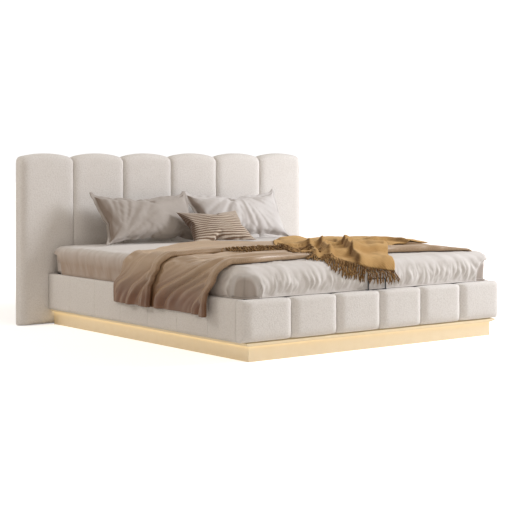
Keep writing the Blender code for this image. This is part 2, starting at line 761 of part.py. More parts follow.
def build_corner_brackets():
    """Steel angles with their bolts, which hold the rails to the headboard and the footboard."""
    rail_face = RAIL_INNER - SEAT_GAP
    for side, hand in ((-1, "left"), (1, "right")):
        for end, corner_y, inward in (("foot", RAIL_START_Y, 1), ("head", RAIL_END_Y - SEAT_GAP, -1)):
            outline = [
                (rail_face, corner_y),
                (rail_face, corner_y + inward * BRACKET_LEG),
                (rail_face - BRACKET_SHEET, corner_y + inward * BRACKET_LEG),
                (rail_face - BRACKET_SHEET, corner_y + inward * BRACKET_SHEET),
                (rail_face - BRACKET_LEG, corner_y + inward * BRACKET_SHEET),
                (rail_face - BRACKET_LEG, corner_y),
            ]
            heights = (BRACKET_BOTTOM, BRACKET_BOTTOM + BRACKET_HEIGHT)
            loops = [[(side * x, y, z) for x, y in outline] for z in heights]
            bracket = loft(f"corner_bracket_{end}_{hand}", loops, ZINC_STEEL)
            bolts = []
            for z in (heights[0] + BOLT_EDGE_DISTANCE, heights[1] - BOLT_EDGE_DISTANCE):
                rail_leg = (side * (rail_face - BRACKET_SHEET / 2), corner_y + inward * BOLT_EDGE_DISTANCE, z)
                end_leg = (side * (rail_face - BOLT_EDGE_DISTANCE), corner_y + inward * BRACKET_SHEET / 2, z)
                bolts.append(bolt_head(rail_leg, (-side, 0, 0)))
                bolts.append(bolt_head(end_leg, (0, inward, 0)))
            weld(bracket, join("bracket_bolts", bolts))


def bolt_head(place, direction):
    """A low bolt head that starts inside the sheet it holds."""
    tip = BRACKET_SHEET / 2 + BOLT_HEAD_HEIGHT
    rim = BRACKET_SHEET / 2 + BOLT_HEAD_HEIGHT * BOLT_RIM_SHARE
    profile = [(0.0, BOLT_HEAD_RADIUS), (rim, BOLT_HEAD_RADIUS), (tip, BOLT_HEAD_RADIUS * BOLT_TIP_SHARE)]
    return turned("bolt", place, direction, profile, ZINC_STEEL, segments=BOLT_SEGMENTS)


# Swing arm lift

def layer_x(side, layer):
    """X of a layer measured inwards from a rail's inner face."""
    return side * (RAIL_INNER - layer)


def pin(side, y, z, first_layer, last_layer, radius, head=0.0):
    """A pin square to the rail between two layers, with a head at its last layer if asked."""
    length = last_layer - first_layer
    profile = [(0.0, radius), (length, radius)]
    if head:
        profile += [(length, radius + head), (length + PIN_HEAD, radius + head)]
    start = (layer_x(side, first_layer), y, z)
    return turned("pin", start, (-side, 0, 0), profile, ZINC_STEEL)


def build_roller_track(side, hand):
    """A steel channel bolted to the rail, open inwards, that the roller runs in."""
    near = SEAT_GAP
    far = near + BASE_SHEET
    inside = ROLLER_RADIUS + ROLLER_PLAY
    reach = inside + TRACK_FLANGE
    section = [
        (layer_x(side, near), ARM_BASE_Z - reach),
        (layer_x(side, TRACK_DEPTH), ARM_BASE_Z - reach),
        (layer_x(side, TRACK_DEPTH), ARM_BASE_Z - inside),
        (layer_x(side, far), ARM_BASE_Z - inside),
        (layer_x(side, far), ARM_BASE_Z + inside),
        (layer_x(side, TRACK_DEPTH), ARM_BASE_Z + inside),
        (layer_x(side, TRACK_DEPTH), ARM_BASE_Z + reach),
        (layer_x(side, near), ARM_BASE_Z + reach),
    ]
    loops = [[(x, y, z) for x, z in section] for y in (TRACK_FOOT_Y, TRACK_HEAD_Y)]
    track = loft(f"roller_track_{hand}", loops, BLACK_STEEL)
    stop_half = inside + TRACK_FLANGE / 2
    for edge_y, inward in ((TRACK_HEAD_Y, -1), (TRACK_FOOT_Y, 1)):
        stop = [
            (edge_y, ARM_BASE_Z - stop_half),
            (edge_y + inward * TRACK_STOP, ARM_BASE_Z - stop_half),
            (edge_y + inward * TRACK_STOP, ARM_BASE_Z + stop_half),
            (edge_y, ARM_BASE_Z + stop_half),
        ]
        weld(track, plate_x("track_stop", stop, layer_x(side, near + BASE_SHEET / 2),
                            layer_x(side, TRACK_DEPTH - SEAT_GAP), BLACK_STEEL))


def build_lift_base(side, hand):
    """A steel plate bolted to the rail, with the pivot pin of the swing arm."""
    near = SEAT_GAP
    far = near + BASE_SHEET
    top_y = ARM_BASE_Y + BASE_TOP_AHEAD
    top_z = ARM_BASE_Z + BASE_TOP_RISE
    belt = hull_of_circles([
        (ARM_BASE_Y, ARM_BASE_Z, BASE_PIVOT_BOSS),
        (STRUT_BASE_Y, ARM_BASE_Z, BASE_STRUT_BOSS),
        (top_y, top_z, BASE_TOP_BOSS),
    ])
    base = plate_x(f"lift_base_{hand}", belt, layer_x(side, near), layer_x(side, far), BLACK_STEEL)
    cut(base, pin(side, STRUT_BASE_Y, ARM_BASE_Z, near - CUT_OVERRUN, far + CUT_OVERRUN,
                  SMALL_PIN + SEAT_GAP))
    sheet_middle = (near + far) / 2
    arm_far = ARM_PLATE_LAYER + ARM_PLATE + SEAT_GAP
    weld(base, pin(side, ARM_BASE_Y, ARM_BASE_Z, sheet_middle, arm_far, PIVOT_PIN, PIN_HEAD_EXTRA))
    bolts = []
    for y, z in ((top_y, top_z), (ARM_BASE_Y + HORN_LENGTH * BASE_LOW_BOLT_SHARE, ARM_BASE_Z)):
        bolts.append(bolt_head((layer_x(side, sheet_middle), y, z), (-side, 0, 0)))
    weld(base, join("base_bolts", bolts))


def build_strut_pin(side, hand):
    """The pin in the lift base that the gas strut's cylinder turns on."""
    strut_far = STRUT_LAYER + STRUT_EYE_WIDTH / 2 + SEAT_GAP
    strut_pin = pin(side, STRUT_BASE_Y, ARM_BASE_Z, SEAT_GAP, strut_far, SMALL_PIN)
    strut_pin.name = f"strut_pin_{hand}"


def build_swing_arm(side, hand):
    """A plate arm with a horn for the gas strut, drilled for the base pin."""
    corners = [
        (ARM_BASE_Y, ARM_BASE_Z, ARM_PIVOT_BOSS),
        (ARM_TOP_Y, ARM_TOP_Z, ARM_TOP_BOSS),
        (HORN_Y, HORN_Z, HORN_BOSS),
    ]
    near = ARM_PLATE_LAYER
    far = near + ARM_PLATE
    arm = plate_x(f"swing_arm_{hand}", hull_of_circles(corners), layer_x(side, near), layer_x(side, far),
                  BLACK_STEEL, ROUND_ANGLE)
    centre_y = sum(c[0] for c in corners) / len(corners)
    centre_z = sum(c[1] for c in corners) / len(corners)
    window = []
    for y, z, radius in corners:
        window.append((centre_y + (y - centre_y) * ARM_WINDOW_SHARE,
                       centre_z + (z - centre_z) * ARM_WINDOW_SHARE, radius * ARM_WINDOW_ROUND_SHARE))
    cut(arm, plate_x("arm_window", hull_of_circles(window), layer_x(side, near - CUT_OVERRUN),
                     layer_x(side, far + CUT_OVERRUN), BLACK_STEEL))
    cut(arm, pin(side, ARM_BASE_Y, ARM_BASE_Z, near - CUT_OVERRUN, far + CUT_OVERRUN, PIVOT_PIN + PIN_PLAY))
    plate_middle = near + ARM_PLATE / 2
    weld(arm, pin(side, ARM_TOP_Y, ARM_TOP_Z, plate_middle, TUBE_RAIL_GAP + TOP_PIN_REACH, TOP_PIN))
    horn_pin_layer = STRUT_LAYER - STRUT_EYE_WIDTH / 2 - SEAT_GAP
    weld(arm, pin(side, HORN_Y, HORN_Z, horn_pin_layer, plate_middle, SMALL_PIN))
    return set_origin(arm, (layer_x(side, near), ARM_BASE_Y, ARM_BASE_Z))


def build_roller(side, hand):
    """A nylon wheel on the head end of the platform, running in the track."""
    bore = SMALL_PIN + PIN_PLAY
    shoulder = ROLLER_WIDTH * ROLLER_SHOULDER_SHARE
    profile = [
        (0.0, bore),
        (0.0, ROLLER_RADIUS - shoulder),
        (shoulder, ROLLER_RADIUS),
        (ROLLER_WIDTH - shoulder, ROLLER_RADIUS),
        (ROLLER_WIDTH, ROLLER_RADIUS - shoulder),
        (ROLLER_WIDTH, bore),
    ]
    start = (layer_x(side, ROLLER_LAYER), ROLLER_Y, ARM_BASE_Z)
    wheel = ring(f"track_roller_{hand}", start, (-side, 0, 0), profile, NYLON)
    set_origin(wheel, start)


def strut_frame():
    """Rotation about X that turns local Z along the closed strut, and the strut's length."""
    reach_y = HORN_Y - STRUT_BASE_Y
    reach_z = HORN_Z - ARM_BASE_Z
    return math.atan2(-reach_y, reach_z), math.hypot(reach_y, reach_z)


def build_gas_strut(side, hand):
    """A gas strut between the base and the horn of the arm."""
    tilt, closed = strut_frame()
    across = (-side, 0, 0)
    eye_start = (side * STRUT_EYE_WIDTH / 2, 0, 0)
    cut_start = (side * CUT_OVERRUN, 0, 0)
    up = (0, 0, 1)
    down = (0, 0, -1)
    x = layer_x(side, STRUT_LAYER)
    places = {"strut_cylinder": (x, STRUT_BASE_Y, ARM_BASE_Z), "strut_rod": (x, HORN_Y, HORN_Z)}
    barrel_end = closed - STRUT_GLAND_GAP
    neck_radius = STRUT_RADIUS * STRUT_NECK_SHARE
    eye_profile = [(0.0, STRUT_EYE_RADIUS), (STRUT_EYE_WIDTH, STRUT_EYE_RADIUS)]
    hole_profile = [(0.0, SMALL_PIN + PIN_PLAY), (2 * CUT_OVERRUN, SMALL_PIN + PIN_PLAY)]
    shoulder = STRUT_RADIUS * STRUT_SHOULDER_SHARE

    barrel = turned(f"strut_cylinder_{hand}", (0, 0, 0), up, [
        (STRUT_SOCKET_START, neck_radius),
        (STRUT_NECK - shoulder, neck_radius),
        (STRUT_NECK, STRUT_RADIUS),
        (barrel_end - shoulder, STRUT_RADIUS),
        (barrel_end, STRUT_RADIUS - shoulder),
    ], BLACK_STEEL)
    weld(barrel, turned("barrel_eye", eye_start, across, eye_profile, BLACK_STEEL))
    cut(barrel, turned("barrel_hole", cut_start, across, hole_profile, BLACK_STEEL))
    bore_start = STRUT_NECK + shoulder
    cut(barrel, turned("barrel_bore", (0, 0, 0), up,
                       [(bore_start, STRUT_BORE), (closed, STRUT_BORE)], BLACK_STEEL))

    rod_end = closed - bore_start - STRUT_ROD_TIP_GAP
    rod = turned(f"strut_rod_{hand}", (0, 0, 0), down, [
        (STRUT_ROD_START, STRUT_ROD_RADIUS),
        (rod_end, STRUT_ROD_RADIUS),
    ], CHROME_ROD)
    weld(rod, turned("rod_eye", eye_start, across, eye_profile, CHROME_ROD))
    cut(rod, turned("rod_hole", cut_start, across, hole_profile, CHROME_ROD))

    for item in (barrel, rod):
        place = places[item.name.rsplit("_", 1)[0]]
        for piece in (item, *(modifier.object for modifier in item.modifiers)):
            piece.location = place
            piece.rotation_euler = (tilt, 0, 0)


# Lifting platform

def build_platform():
    """Welded steel frame under the mattress, in separate tubes."""
    for side, hand in ((-1, "left"), (1, "right")):
        edges = sorted((side * TUBE_INNER, side * TUBE_OUTER))
        tube = box(f"platform_side_tube_{hand}", (edges[0], PLATFORM_FOOT_Y, TUBE_BOTTOM),
                   (edges[1], PLATFORM_HEAD_Y, TUBE_TOP), BLACK_STEEL)
        cut(tube, pin(side, ARM_TOP_Y, ARM_TOP_Z, TUBE_RAIL_GAP - CUT_OVERRUN,
                      TUBE_RAIL_GAP + TOP_PIN_REACH + SEAT_GAP, TOP_PIN + PIN_PLAY))
        bracket_far_y = PLATFORM_HEAD_Y - BRACKET_TOP_LENGTH
        belt = hull_of_circles([
            (ROLLER_Y, ARM_BASE_Z, BRACKET_ROLLER_BOSS),
            (PLATFORM_HEAD_Y - BRACKET_ROUND, TUBE_TOP - BRACKET_ROUND, BRACKET_ROUND),
            (bracket_far_y + BRACKET_ROUND, TUBE_TOP - BRACKET_ROUND, BRACKET_ROUND),
        ])
        plate_near = TUBE_RAIL_GAP - BRACKET_PLATE
        weld(tube, plate_x("roller_bracket", belt, layer_x(side, plate_near),
                           layer_x(side, TUBE_RAIL_GAP + SEAT_GAP), BLACK_STEEL))
        axle_start = ROLLER_LAYER - SEAT_GAP
        weld(tube, pin(side, ROLLER_Y, ARM_BASE_Z, axle_start, plate_near + BRACKET_PLATE / 2, SMALL_PIN))
    end_half = TUBE_INNER - SEAT_GAP
    box("platform_head_tube", (-end_half, PLATFORM_HEAD_Y - TUBE, TUBE_BOTTOM),
        (end_half, PLATFORM_HEAD_Y, TUBE_TOP), BLACK_STEEL)
    box("platform_foot_tube", (-end_half, PLATFORM_FOOT_Y, TUBE_BOTTOM),
        (end_half, PLATFORM_FOOT_Y + TUBE, TUBE_TOP), BLACK_STEEL)
    rest_top = TUBE_BOTTOM - SEAT_GAP
    for side, hand in ((-1, "left"), (1, "right")):
        middle = side * REST_SPACING / 2
        outline = [
            (RAIL_START_Y, rest_top),
            (RAIL_START_Y, rest_top - REST_HEIGHT),
            (RAIL_START_Y + REST_DEPTH, rest_top - REST_HEIGHT * REST_TIP_SHARE),
            (RAIL_START_Y + REST_DEPTH, rest_top),
        ]
        plate_x(f"platform_rest_{hand}", outline, middle - REST_WIDTH / 2, middle + REST_WIDTH / 2, NYLON)


def slat_bottom_at(share):
    """Height of a bowed slat's underside, from 0 at its middle to 1 at its ends."""
    crown = MATTRESS_BOTTOM - SEAT_GAP - SLAT_THICKNESS
    return crown - SLAT_RISE * share ** 2


def build_slat_deck():
    """The centre tube with bowed beech slats on both sides, their ends held in nylon cups."""
    deck = box("slat_deck", (-TUBE / 2, PLATFORM_FOOT_Y + TUBE + SEAT_GAP, TUBE_BOTTOM),
               (TUBE / 2, PLATFORM_HEAD_Y - TUBE - SEAT_GAP, TUBE_TOP), SLAT_BEECH)
    first = PLATFORM_FOOT_Y + TUBE + SLAT_WIDTH
    last = PLATFORM_HEAD_Y - TUBE - SLAT_WIDTH
    inner_end = TUBE / 2 - SLAT_HOLDER_WALL
    outer_face = TUBE_INNER - SEAT_GAP
    outer_end = outer_face - SLAT_HOLDER_WALL / 2
    middle = (inner_end + outer_end) / 2
    half = (outer_end - inner_end) / 2
    slats = []
    cups = []
    for side in (-1, 1):
        for number in range(SLAT_COUNT):
            y = first + (last - first) * number / (SLAT_COUNT - 1)
            loops = []
            for step in range(SLAT_STEPS + 1):
                share = 2 * step / SLAT_STEPS - 1
                x = side * (middle + half * share)
                low = slat_bottom_at(share)
                loops.append([
                    (x, y - SLAT_WIDTH / 2, low),
                    (x, y + SLAT_WIDTH / 2, low),
                    (x, y + SLAT_WIDTH / 2, low + SLAT_THICKNESS),
                    (x, y - SLAT_WIDTH / 2, low + SLAT_THICKNESS),
                ])
            slats.append(loft("slat", loops, SLAT_BEECH))
            cups.append(slat_cup(side, TUBE / 2 - SLAT_HOLDER_WALL / 2, 1, y))
            cups.append(slat_cup(side, outer_face, -1, y))
    weld(deck, join("deck_slats", slats))
    weld(deck, join("deck_cups", cups))


def slat_cup(side, face, inward, y):
    """A block round the end of a slat, a little wider and deeper than it."""
    slat_end = slat_bottom_at(1)
    low = slat_end - SLAT_HOLDER_WALL
    mouth = face + inward * SLAT_HOLDER_DEPTH
    mouth_share = 1 - 2 * SLAT_HOLDER_DEPTH / (TUBE_INNER - TUBE / 2)
    rise = slat_bottom_at(mouth_share) - slat_end
    high = slat_end + SLAT_THICKNESS + SLAT_HOLDER_WALL
    outline = [(face, low), (mouth, low + rise), (mouth, high + rise), (face, high)]
    half = SLAT_WIDTH / 2 + SLAT_HOLDER_WALL
    loops = [[(side * x, place, z) for x, z in outline] for place in (y - half, y + half)]
    return loft("cup", loops, NYLON)


def build_hoop():
    """Black steel hoop that stops the mattress and lifts the platform."""
    y = FOOT_Y + HOOP_FOOT_INSET
    foot = STRAP_BOTTOM + SEAT_GAP
    top = foot + HOOP_HEIGHT - HOOP_RADIUS
    half = HOOP_WIDTH / 2 - HOOP_RADIUS
    path = [(-half, foot)]
    path += arc((-half + HOOP_BEND, top - HOOP_BEND), HOOP_BEND, 180, 90, HOOP_BEND_STEPS)
    path += arc((half - HOOP_BEND, top - HOOP_BEND), HOOP_BEND, 90, 0, HOOP_BEND_STEPS)
    path.append((half, foot))
    loops = []
    for index, (x, z) in enumerate(path):
        before = path[max(index - 1, 0)]
        after = path[min(index + 1, len(path) - 1)]
        along = Vector((after[0] - before[0], 0, after[1] - before[1])).normalized()
        side = Vector((0, 1, 0))
        other = along.cross(side)
        loop = []
        for step in range(HOOP_SEGMENTS):
            angle = math.tau * step / HOOP_SEGMENTS
            outward = side * math.cos(angle) + other * math.sin(angle)
            loop.append(Vector((x, y, z)) + outward * HOOP_RADIUS)
        loops.append(loop)
    hoop = loft("mattress_stop", loops, BLACK_STEEL, SOFT_ANGLE)
    for x in (-half, half):
        weld(hoop, box("strap", (x - HOOP_STRAP_WIDTH / 2, y - HOOP_STRAP_BACK, STRAP_BOTTOM),
                       (x + HOOP_STRAP_WIDTH / 2, PLATFORM_FOOT_Y + TUBE, STRAP_BOTTOM + STRAP_THICKNESS),
                       BLACK_STEEL))


# Soft pieces

def mattress_ring(grow, z, scale=1.0):
    """One level outline of the mattress, grown past its footprint."""
    half_x = (MATTRESS_HALF_WIDTH + grow) * scale
    half_y = (MATTRESS_HALF_LENGTH + grow) * scale
    corner = (MATTRESS_CORNER + grow) * scale
    corners = []
    for quarter, (sx, sy) in enumerate(((1, 1), (-1, 1), (-1, -1), (1, -1))):
        centre = (sx * (half_x - corner), MATTRESS_MIDDLE_Y + sy * (half_y - corner))
        corners.append(arc(centre, corner, 90 * quarter, 90 * quarter + 90, MATTRESS_CORNER_STEPS))
    points = []
    for quarter, bend in enumerate(corners):
        points += bend
        start = bend[-1]
        end = corners[(quarter + 1) % len(corners)][0]
        for step in range(1, MATTRESS_STRAIGHT_STEPS):
            share = step / MATTRESS_STRAIGHT_STEPS
            points.append((start[0] + (end[0] - start[0]) * share, start[1] + (end[1] - start[1]) * share))
    return [(x, y, z) for x, y in points]


def mattress_top(x, y):
    """Height of the crowned top at a place."""
    across = min(abs(x) / MATTRESS_HALF_WIDTH, 1.0)
    along = min(abs(y - MATTRESS_MIDDLE_Y) / MATTRESS_HALF_LENGTH, 1.0)
    return MATTRESS_EDGE_TOP + MATTRESS_CROWN * (1 - max(across, along) ** 2)


def build_mattress():
    """A thick mattress in its fitted sheet, with bulging sides and a crowned top."""
    side_height = MATTRESS_EDGE_TOP - MATTRESS_BOTTOM
    roll = MATTRESS_TOP_ROLL
    straight = side_height - roll
    loops = []
    for step in range(MATTRESS_SIDE_STEPS + 1):
        share = step / MATTRESS_SIDE_STEPS
        grow = MATTRESS_BULGE * math.sin(share * math.pi / 2)
        loops.append(mattress_ring(grow, MATTRESS_BOTTOM + straight * share))
    for step in range(1, MATTRESS_ROLL_STEPS + 1):
        angle = math.pi / 2 * step / MATTRESS_ROLL_STEPS
        grow = MATTRESS_BULGE - roll * (1 - math.cos(angle))
        loops.append(mattress_ring(grow, MATTRESS_BOTTOM + straight + roll * math.sin(angle)))
    top_grow = MATTRESS_BULGE - roll
    for scale in MATTRESS_TOP_SHARES:
        height = MATTRESS_EDGE_TOP + MATTRESS_CROWN * (1 - scale ** 2)
        loops.append(mattress_ring(top_grow, height, scale))
    loft("mattress", loops, FITTED_SHEET, SOFT_ANGLE)


def pillow_points(width, height, thickness, edge, waist, sag, columns, rows, face):
    """One face of a stuffed case: full in the middle, thin at the rim, drawn in along its sides."""
    points = []
    for row in range(rows + 1):
        v = -math.cos(math.pi * row / rows)
        for column in range(columns + 1):
            u = -math.cos(math.pi * column / columns)
            x = width / 2 * u * (1 - waist * (1 - v ** 2))
            droop = 1 - sag * (1 - u ** 2) if v > 0 else 1 - sag
            z = height / 2 * v * droop
            flat = (1 - u ** STUFFING_FLATNESS) * (1 - v ** STUFFING_FLATNESS)
            fill = max(flat, 0.0) ** STUFFING_FULLNESS_SHARE
            y = face * (edge / 2 + (thickness - edge) / 2 * fill)
            points.append(Vector((x, y, z)))
    return points


def build_pillow(name, width, height, thickness, edge, waist, sag, columns, rows, lean, turn, centre_x,
                 place_y, fixed_top, material):
    """A pillow that leans back and rests on the mattress."""
    front = pillow_points(width, height, thickness, edge, waist, sag, columns, rows, -1)
    rear = pillow_points(width, height, thickness, edge, waist, sag, columns, rows, 1)
    count = len(front)
    stride = columns + 1
    faces = []
    for row in range(rows):
        for column in range(columns):
            a = row * stride + column
            faces.append((a, a + 1, a + 1 + stride, a + stride))
            faces.append((a + count, a + stride + count, a + 1 + stride + count, a + 1 + count))
    rim = [column for column in range(columns)]
    rim += [row * stride + columns for row in range(rows)]
    rim += [rows * stride + column for column in range(columns, 0, -1)]
    rim += [row * stride for row in range(rows, 0, -1)]
    for index, first in enumerate(rim):
        second = rim[(index + 1) % len(rim)]
        faces.append((first, first + count, second + count, second))
    tilt = Matrix.Rotation(-lean, 4, "X")
    swing = Matrix.Rotation(turn, 4, "Z")
    points = [swing @ tilt @ point for point in front + rear]
    shift_y = place_y - (max(p.y for p in points) if fixed_top else 0.0)
    points = [p + Vector((centre_x, shift_y, 0.0)) for p in points]
    lift = max(mattress_top(p.x, p.y) + SEAT_GAP - p.z for p in points)
    points = [p + Vector((0.0, 0.0, lift)) for p in points]
    return new_object(name, points, faces, material, SOFT_ANGLE)


def build_pillows():
    for name, centre, turn in (("pillow_left", PILLOW_LEFT_CENTRE, PILLOW_TURN),
                               ("pillow_right", PILLOW_RIGHT_CENTRE, -PILLOW_TURN)):
        build_pillow(name, PILLOW_WIDTH, PILLOW_HEIGHT, PILLOW_THICKNESS, PILLOW_EDGE, PILLOW_WAIST,
                     PILLOW_SAG, PILLOW_COLUMNS, PILLOW_ROWS, PILLOW_LEAN, turn, centre,
                     HEAD_Y - PILLOW_HEAD_GAP, True, PILLOWCASE)
    build_pillow("lumbar_cushion", CUSHION_WIDTH, CUSHION_HEIGHT, CUSHION_THICKNESS, CUSHION_EDGE,
                 CUSHION_WAIST, CUSHION_SAG, CUSHION_COLUMNS, CUSHION_ROWS, CUSHION_LEAN, CUSHION_TURN,
                 CUSHION_CENTRE_X, HEAD_Y - CUSHION_DEPTH, False, STRIPED_KNIT)


def wave_height(turns):
    """Height along a wave, from 0 in its hollow to 1 on its crest."""
    return (1 + math.sin(math.tau * turns)) / 2


def cloth_solid(name, rows, thickness, normals, material):
    """A closed cloth from its underside points and the way out at each of them."""
    height = len(rows)
    width = len(rows[0])
    under = [point for row in rows for point in row]
    over = [p + n * thickness for row, out in zip(rows, normals) for p, n in zip(row, out)]
    count = len(under)
    faces = []
    for row in range(height - 1):
        for column in range(width - 1):
            a = row * width + column
            faces.append((a, a + width, a + width + 1, a + 1))
            faces.append((a + count, a + 1 + count, a + width + 1 + count, a + width + count))
    rim = [column for column in range(width - 1)]
    rim += [row * width + width - 1 for row in range(height - 1)]
    rim += [(height - 1) * width + column for column in range(width - 1, 0, -1)]
    rim += [row * width for row in range(height - 1, 0, -1)]
    for index, first in enumerate(rim):
        second = rim[(index + 1) % len(rim)]
        faces.append((first, second, second + count, first + count))
    return new_object(name, under + over, faces, material, SOFT_ANGLE)


def table_value(table, share):
    """Value between the entries of a short table of share and value."""
    for (low, first), (high, second) in zip(table, table[1:]):
        if share <= high:
            part = (share - low) / (high - low)
            smooth = part * part * (3 - 2 * part)
            return first + (second - first) * smooth
    return table[-1][1]


# The blanket's two long edges: share of its way across, and share of the mattress length from the foot.
BLANKET_FOOT_EDGE_SHARES = ((0.0, 0.12), (0.14, 0.11), (0.32, 0.24), (0.55, 0.30), (0.72, 0.11), (1.0, 0.08))
BLANKET_HEAD_EDGE_SHARES = ((0.0, 0.58), (0.14, 0.62), (0.55, 0.74), (0.75, 0.70), (1.0, 0.60))


def way_stations(drop, bend_end, total, hang_steps, bend_steps, top_steps):
    """Distances along a cloth's route, close together where it bends over the mattress edge."""
    stations = [drop * step / hang_steps for step in range(hang_steps)]
    stations += [drop + (bend_end - drop) * step / bend_steps for step in range(bend_steps)]
    stations += [bend_end + (total - bend_end) * step / top_steps for step in range(top_steps + 1)]
    return stations


def blanket_route():
    """Sizes of the blanket's route: hang, bend over the shoulder, and way to its right end."""
    reach = FRAME_HALF + BLANKET_HANG_CLEARANCE
    shoulder_x = MATTRESS_HALF_WIDTH + MATTRESS_BULGE - MATTRESS_TOP_ROLL
    wide = reach - shoulder_x
    tall = MATTRESS_TOP_ROLL + BLANKET_SHOULDER_LIFT
    drop = MATTRESS_EDGE_TOP - MATTRESS_TOP_ROLL - BLANKET_HEM
    bend_end = drop + math.pi / 2 * math.sqrt((wide ** 2 + tall ** 2) / 2)
    return reach, shoulder_x, wide, tall, drop, bend_end, bend_end + shoulder_x + BLANKET_RIGHT_END


def blanket_frame(way):
    """Place and outward direction on the blanket's route, way being the distance from its hem."""
    reach, shoulder_x, wide, tall, drop, bend_end, total = blanket_route()
    if way < drop:
        return Vector((-reach, 0, BLANKET_HEM + way)), Vector((-1, 0, 0))
    if way < bend_end:
        angle = math.pi / 2 * (way - drop) / (bend_end - drop)
        place = Vector((-shoulder_x - wide * math.cos(angle), 0,
                        MATTRESS_EDGE_TOP - MATTRESS_TOP_ROLL + tall * math.sin(angle)))
        return place, Vector((-tall * math.cos(angle), 0, wide * math.sin(angle))).normalized()
    return Vector((-shoulder_x + way - bend_end, 0, 0)), Vector((0, 0, 1))


def build_blanket():
    """A taupe blanket over the mattress, hanging over its left side in soft folds."""
    drop, bend_end, total = blanket_route()[4:]
    rows = []
    normals = []
    for way in way_stations(drop, bend_end, total, *BLANKET_STEPS_ACROSS):
        share = way / total
        foot = MATTRESS_FOOT_Y + 2 * MATTRESS_HALF_LENGTH * table_value(BLANKET_FOOT_EDGE_SHARES, share)
        head = MATTRESS_FOOT_Y + 2 * MATTRESS_HALF_LENGTH * table_value(BLANKET_HEAD_EDGE_SHARES, share)
        place, out = blanket_frame(way)
        hang = max(0.0, 1 - way / bend_end)
        fade = min(1.0, (1 - share) / BLANKET_FADE_SHARE)
        row = []
        row_out = []
        for along in range(BLANKET_STEPS_ALONG + 1):
            part = along / BLANKET_STEPS_ALONG
            y = foot + (head - foot) * part
            wave = wave_height(BLANKET_WAVES * part + share)
            point = Vector((place.x, y, place.z))
            if way >= bend_end:
                point.z = mattress_top(point.x, y) + BLANKET_LIFT + BLANKET_TOP_FOLD * wave * fade
            else:
                point += out * (BLANKET_FOLD * wave * (1 + hang))
            row.append(point)
            row_out.append(out)
        rows.append(row)
        normals.append(row_out)
    cloth_solid("blanket", rows, BLANKET_THICKNESS, normals, TAUPE_SATEEN)


# The throw's two long edges over its way from the foot hem to the far end: share of the way, and X as a
# share of the mattress half width.
THROW_LEFT_EDGE_SHARES = ((0.0, -0.28), (0.25, -0.26), (0.6, 0.02), (1.0, 0.22))
THROW_RIGHT_EDGE_SHARES = ((0.0, 0.18), (0.25, 0.24), (0.6, 0.72), (1.0, 0.90))
THROW_FAR_SHARE = 0.56


def throw_frame(way, drop, bend_end):
    """Place and outward direction on the throw's route up the foot end and along the top."""
    radius = MATTRESS_TOP_ROLL + THROW_FOOT_CLEARANCE
    face = MATTRESS_FOOT_Y - MATTRESS_BULGE - THROW_FOOT_CLEARANCE
    shoulder_z = MATTRESS_EDGE_TOP - MATTRESS_TOP_ROLL
    if way < drop:
        return Vector((0, face, THROW_FOOT_HEM + way)), Vector((0, -1, 0))
    if way < bend_end:
        angle = (way - drop) / radius
        out = Vector((0, -math.cos(angle), math.sin(angle)))
        return Vector((0, face + radius, shoulder_z)) + out * radius, out
    return Vector((0, face + radius + way - bend_end, 0)), Vector((0, 0, 1))


def build_throw():
    """A mustard throw that lies slanting over the blanket and hangs at the foot."""
    radius = MATTRESS_TOP_ROLL + THROW_FOOT_CLEARANCE
    drop = MATTRESS_EDGE_TOP - MATTRESS_TOP_ROLL - THROW_FOOT_HEM
    bend_end = drop + radius * math.pi / 2
    total = bend_end + 2 * MATTRESS_HALF_LENGTH * THROW_FAR_SHARE
    rows = []
    normals = []
    for way in way_stations(drop, bend_end, total, *THROW_STEPS_ALONG):
        share = way / total
        left = MATTRESS_HALF_WIDTH * table_value(THROW_LEFT_EDGE_SHARES, share)
        right = MATTRESS_HALF_WIDTH * table_value(THROW_RIGHT_EDGE_SHARES, share)
        place, out = throw_frame(way, drop, bend_end)
        row = []
        row_out = []
        for across in range(THROW_STEPS_ACROSS + 1):
            part = across / THROW_STEPS_ACROSS
            x = left + (right - left) * part
            wave = wave_height(THROW_WAVES * part + share)
            point = Vector((x, place.y, place.z))
            if way >= bend_end:
                settle = min(1.0, (way - bend_end) / THROW_SETTLE)
                level = mattress_top(x, place.y) + THROW_FOOT_CLEARANCE
                level += (THROW_LIFT + THROW_FOLD * wave) * settle
                point.z = level
            row.append(point)
            row_out.append(out)
        rows.append(row)
        normals.append(row_out)
    cloth_solid("throw", rows, THROW_THICKNESS, normals, MUSTARD_WOOL)


build_headboard()
build_footboard()
build_plinth()
build_light_strip()
build_storage()
build_corner_brackets()
for rail_side, rail_hand in ((-1, "left"), (1, "right")):
    build_side_rail(rail_side, rail_hand)
    build_roller_track(rail_side, rail_hand)
    build_lift_base(rail_side, rail_hand)
    build_strut_pin(rail_side, rail_hand)
    build_swing_arm(rail_side, rail_hand)
    build_roller(rail_side, rail_hand)
    build_gas_strut(rail_side, rail_hand)
build_platform()
build_slat_deck()
build_hoop()
build_mattress()
build_pillows()
build_blanket()
build_throw()
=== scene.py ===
import math

import bmesh
import bpy
import numpy as np
from mathutils import Matrix, Vector, noise
from mathutils.bvhtree import BVHTree


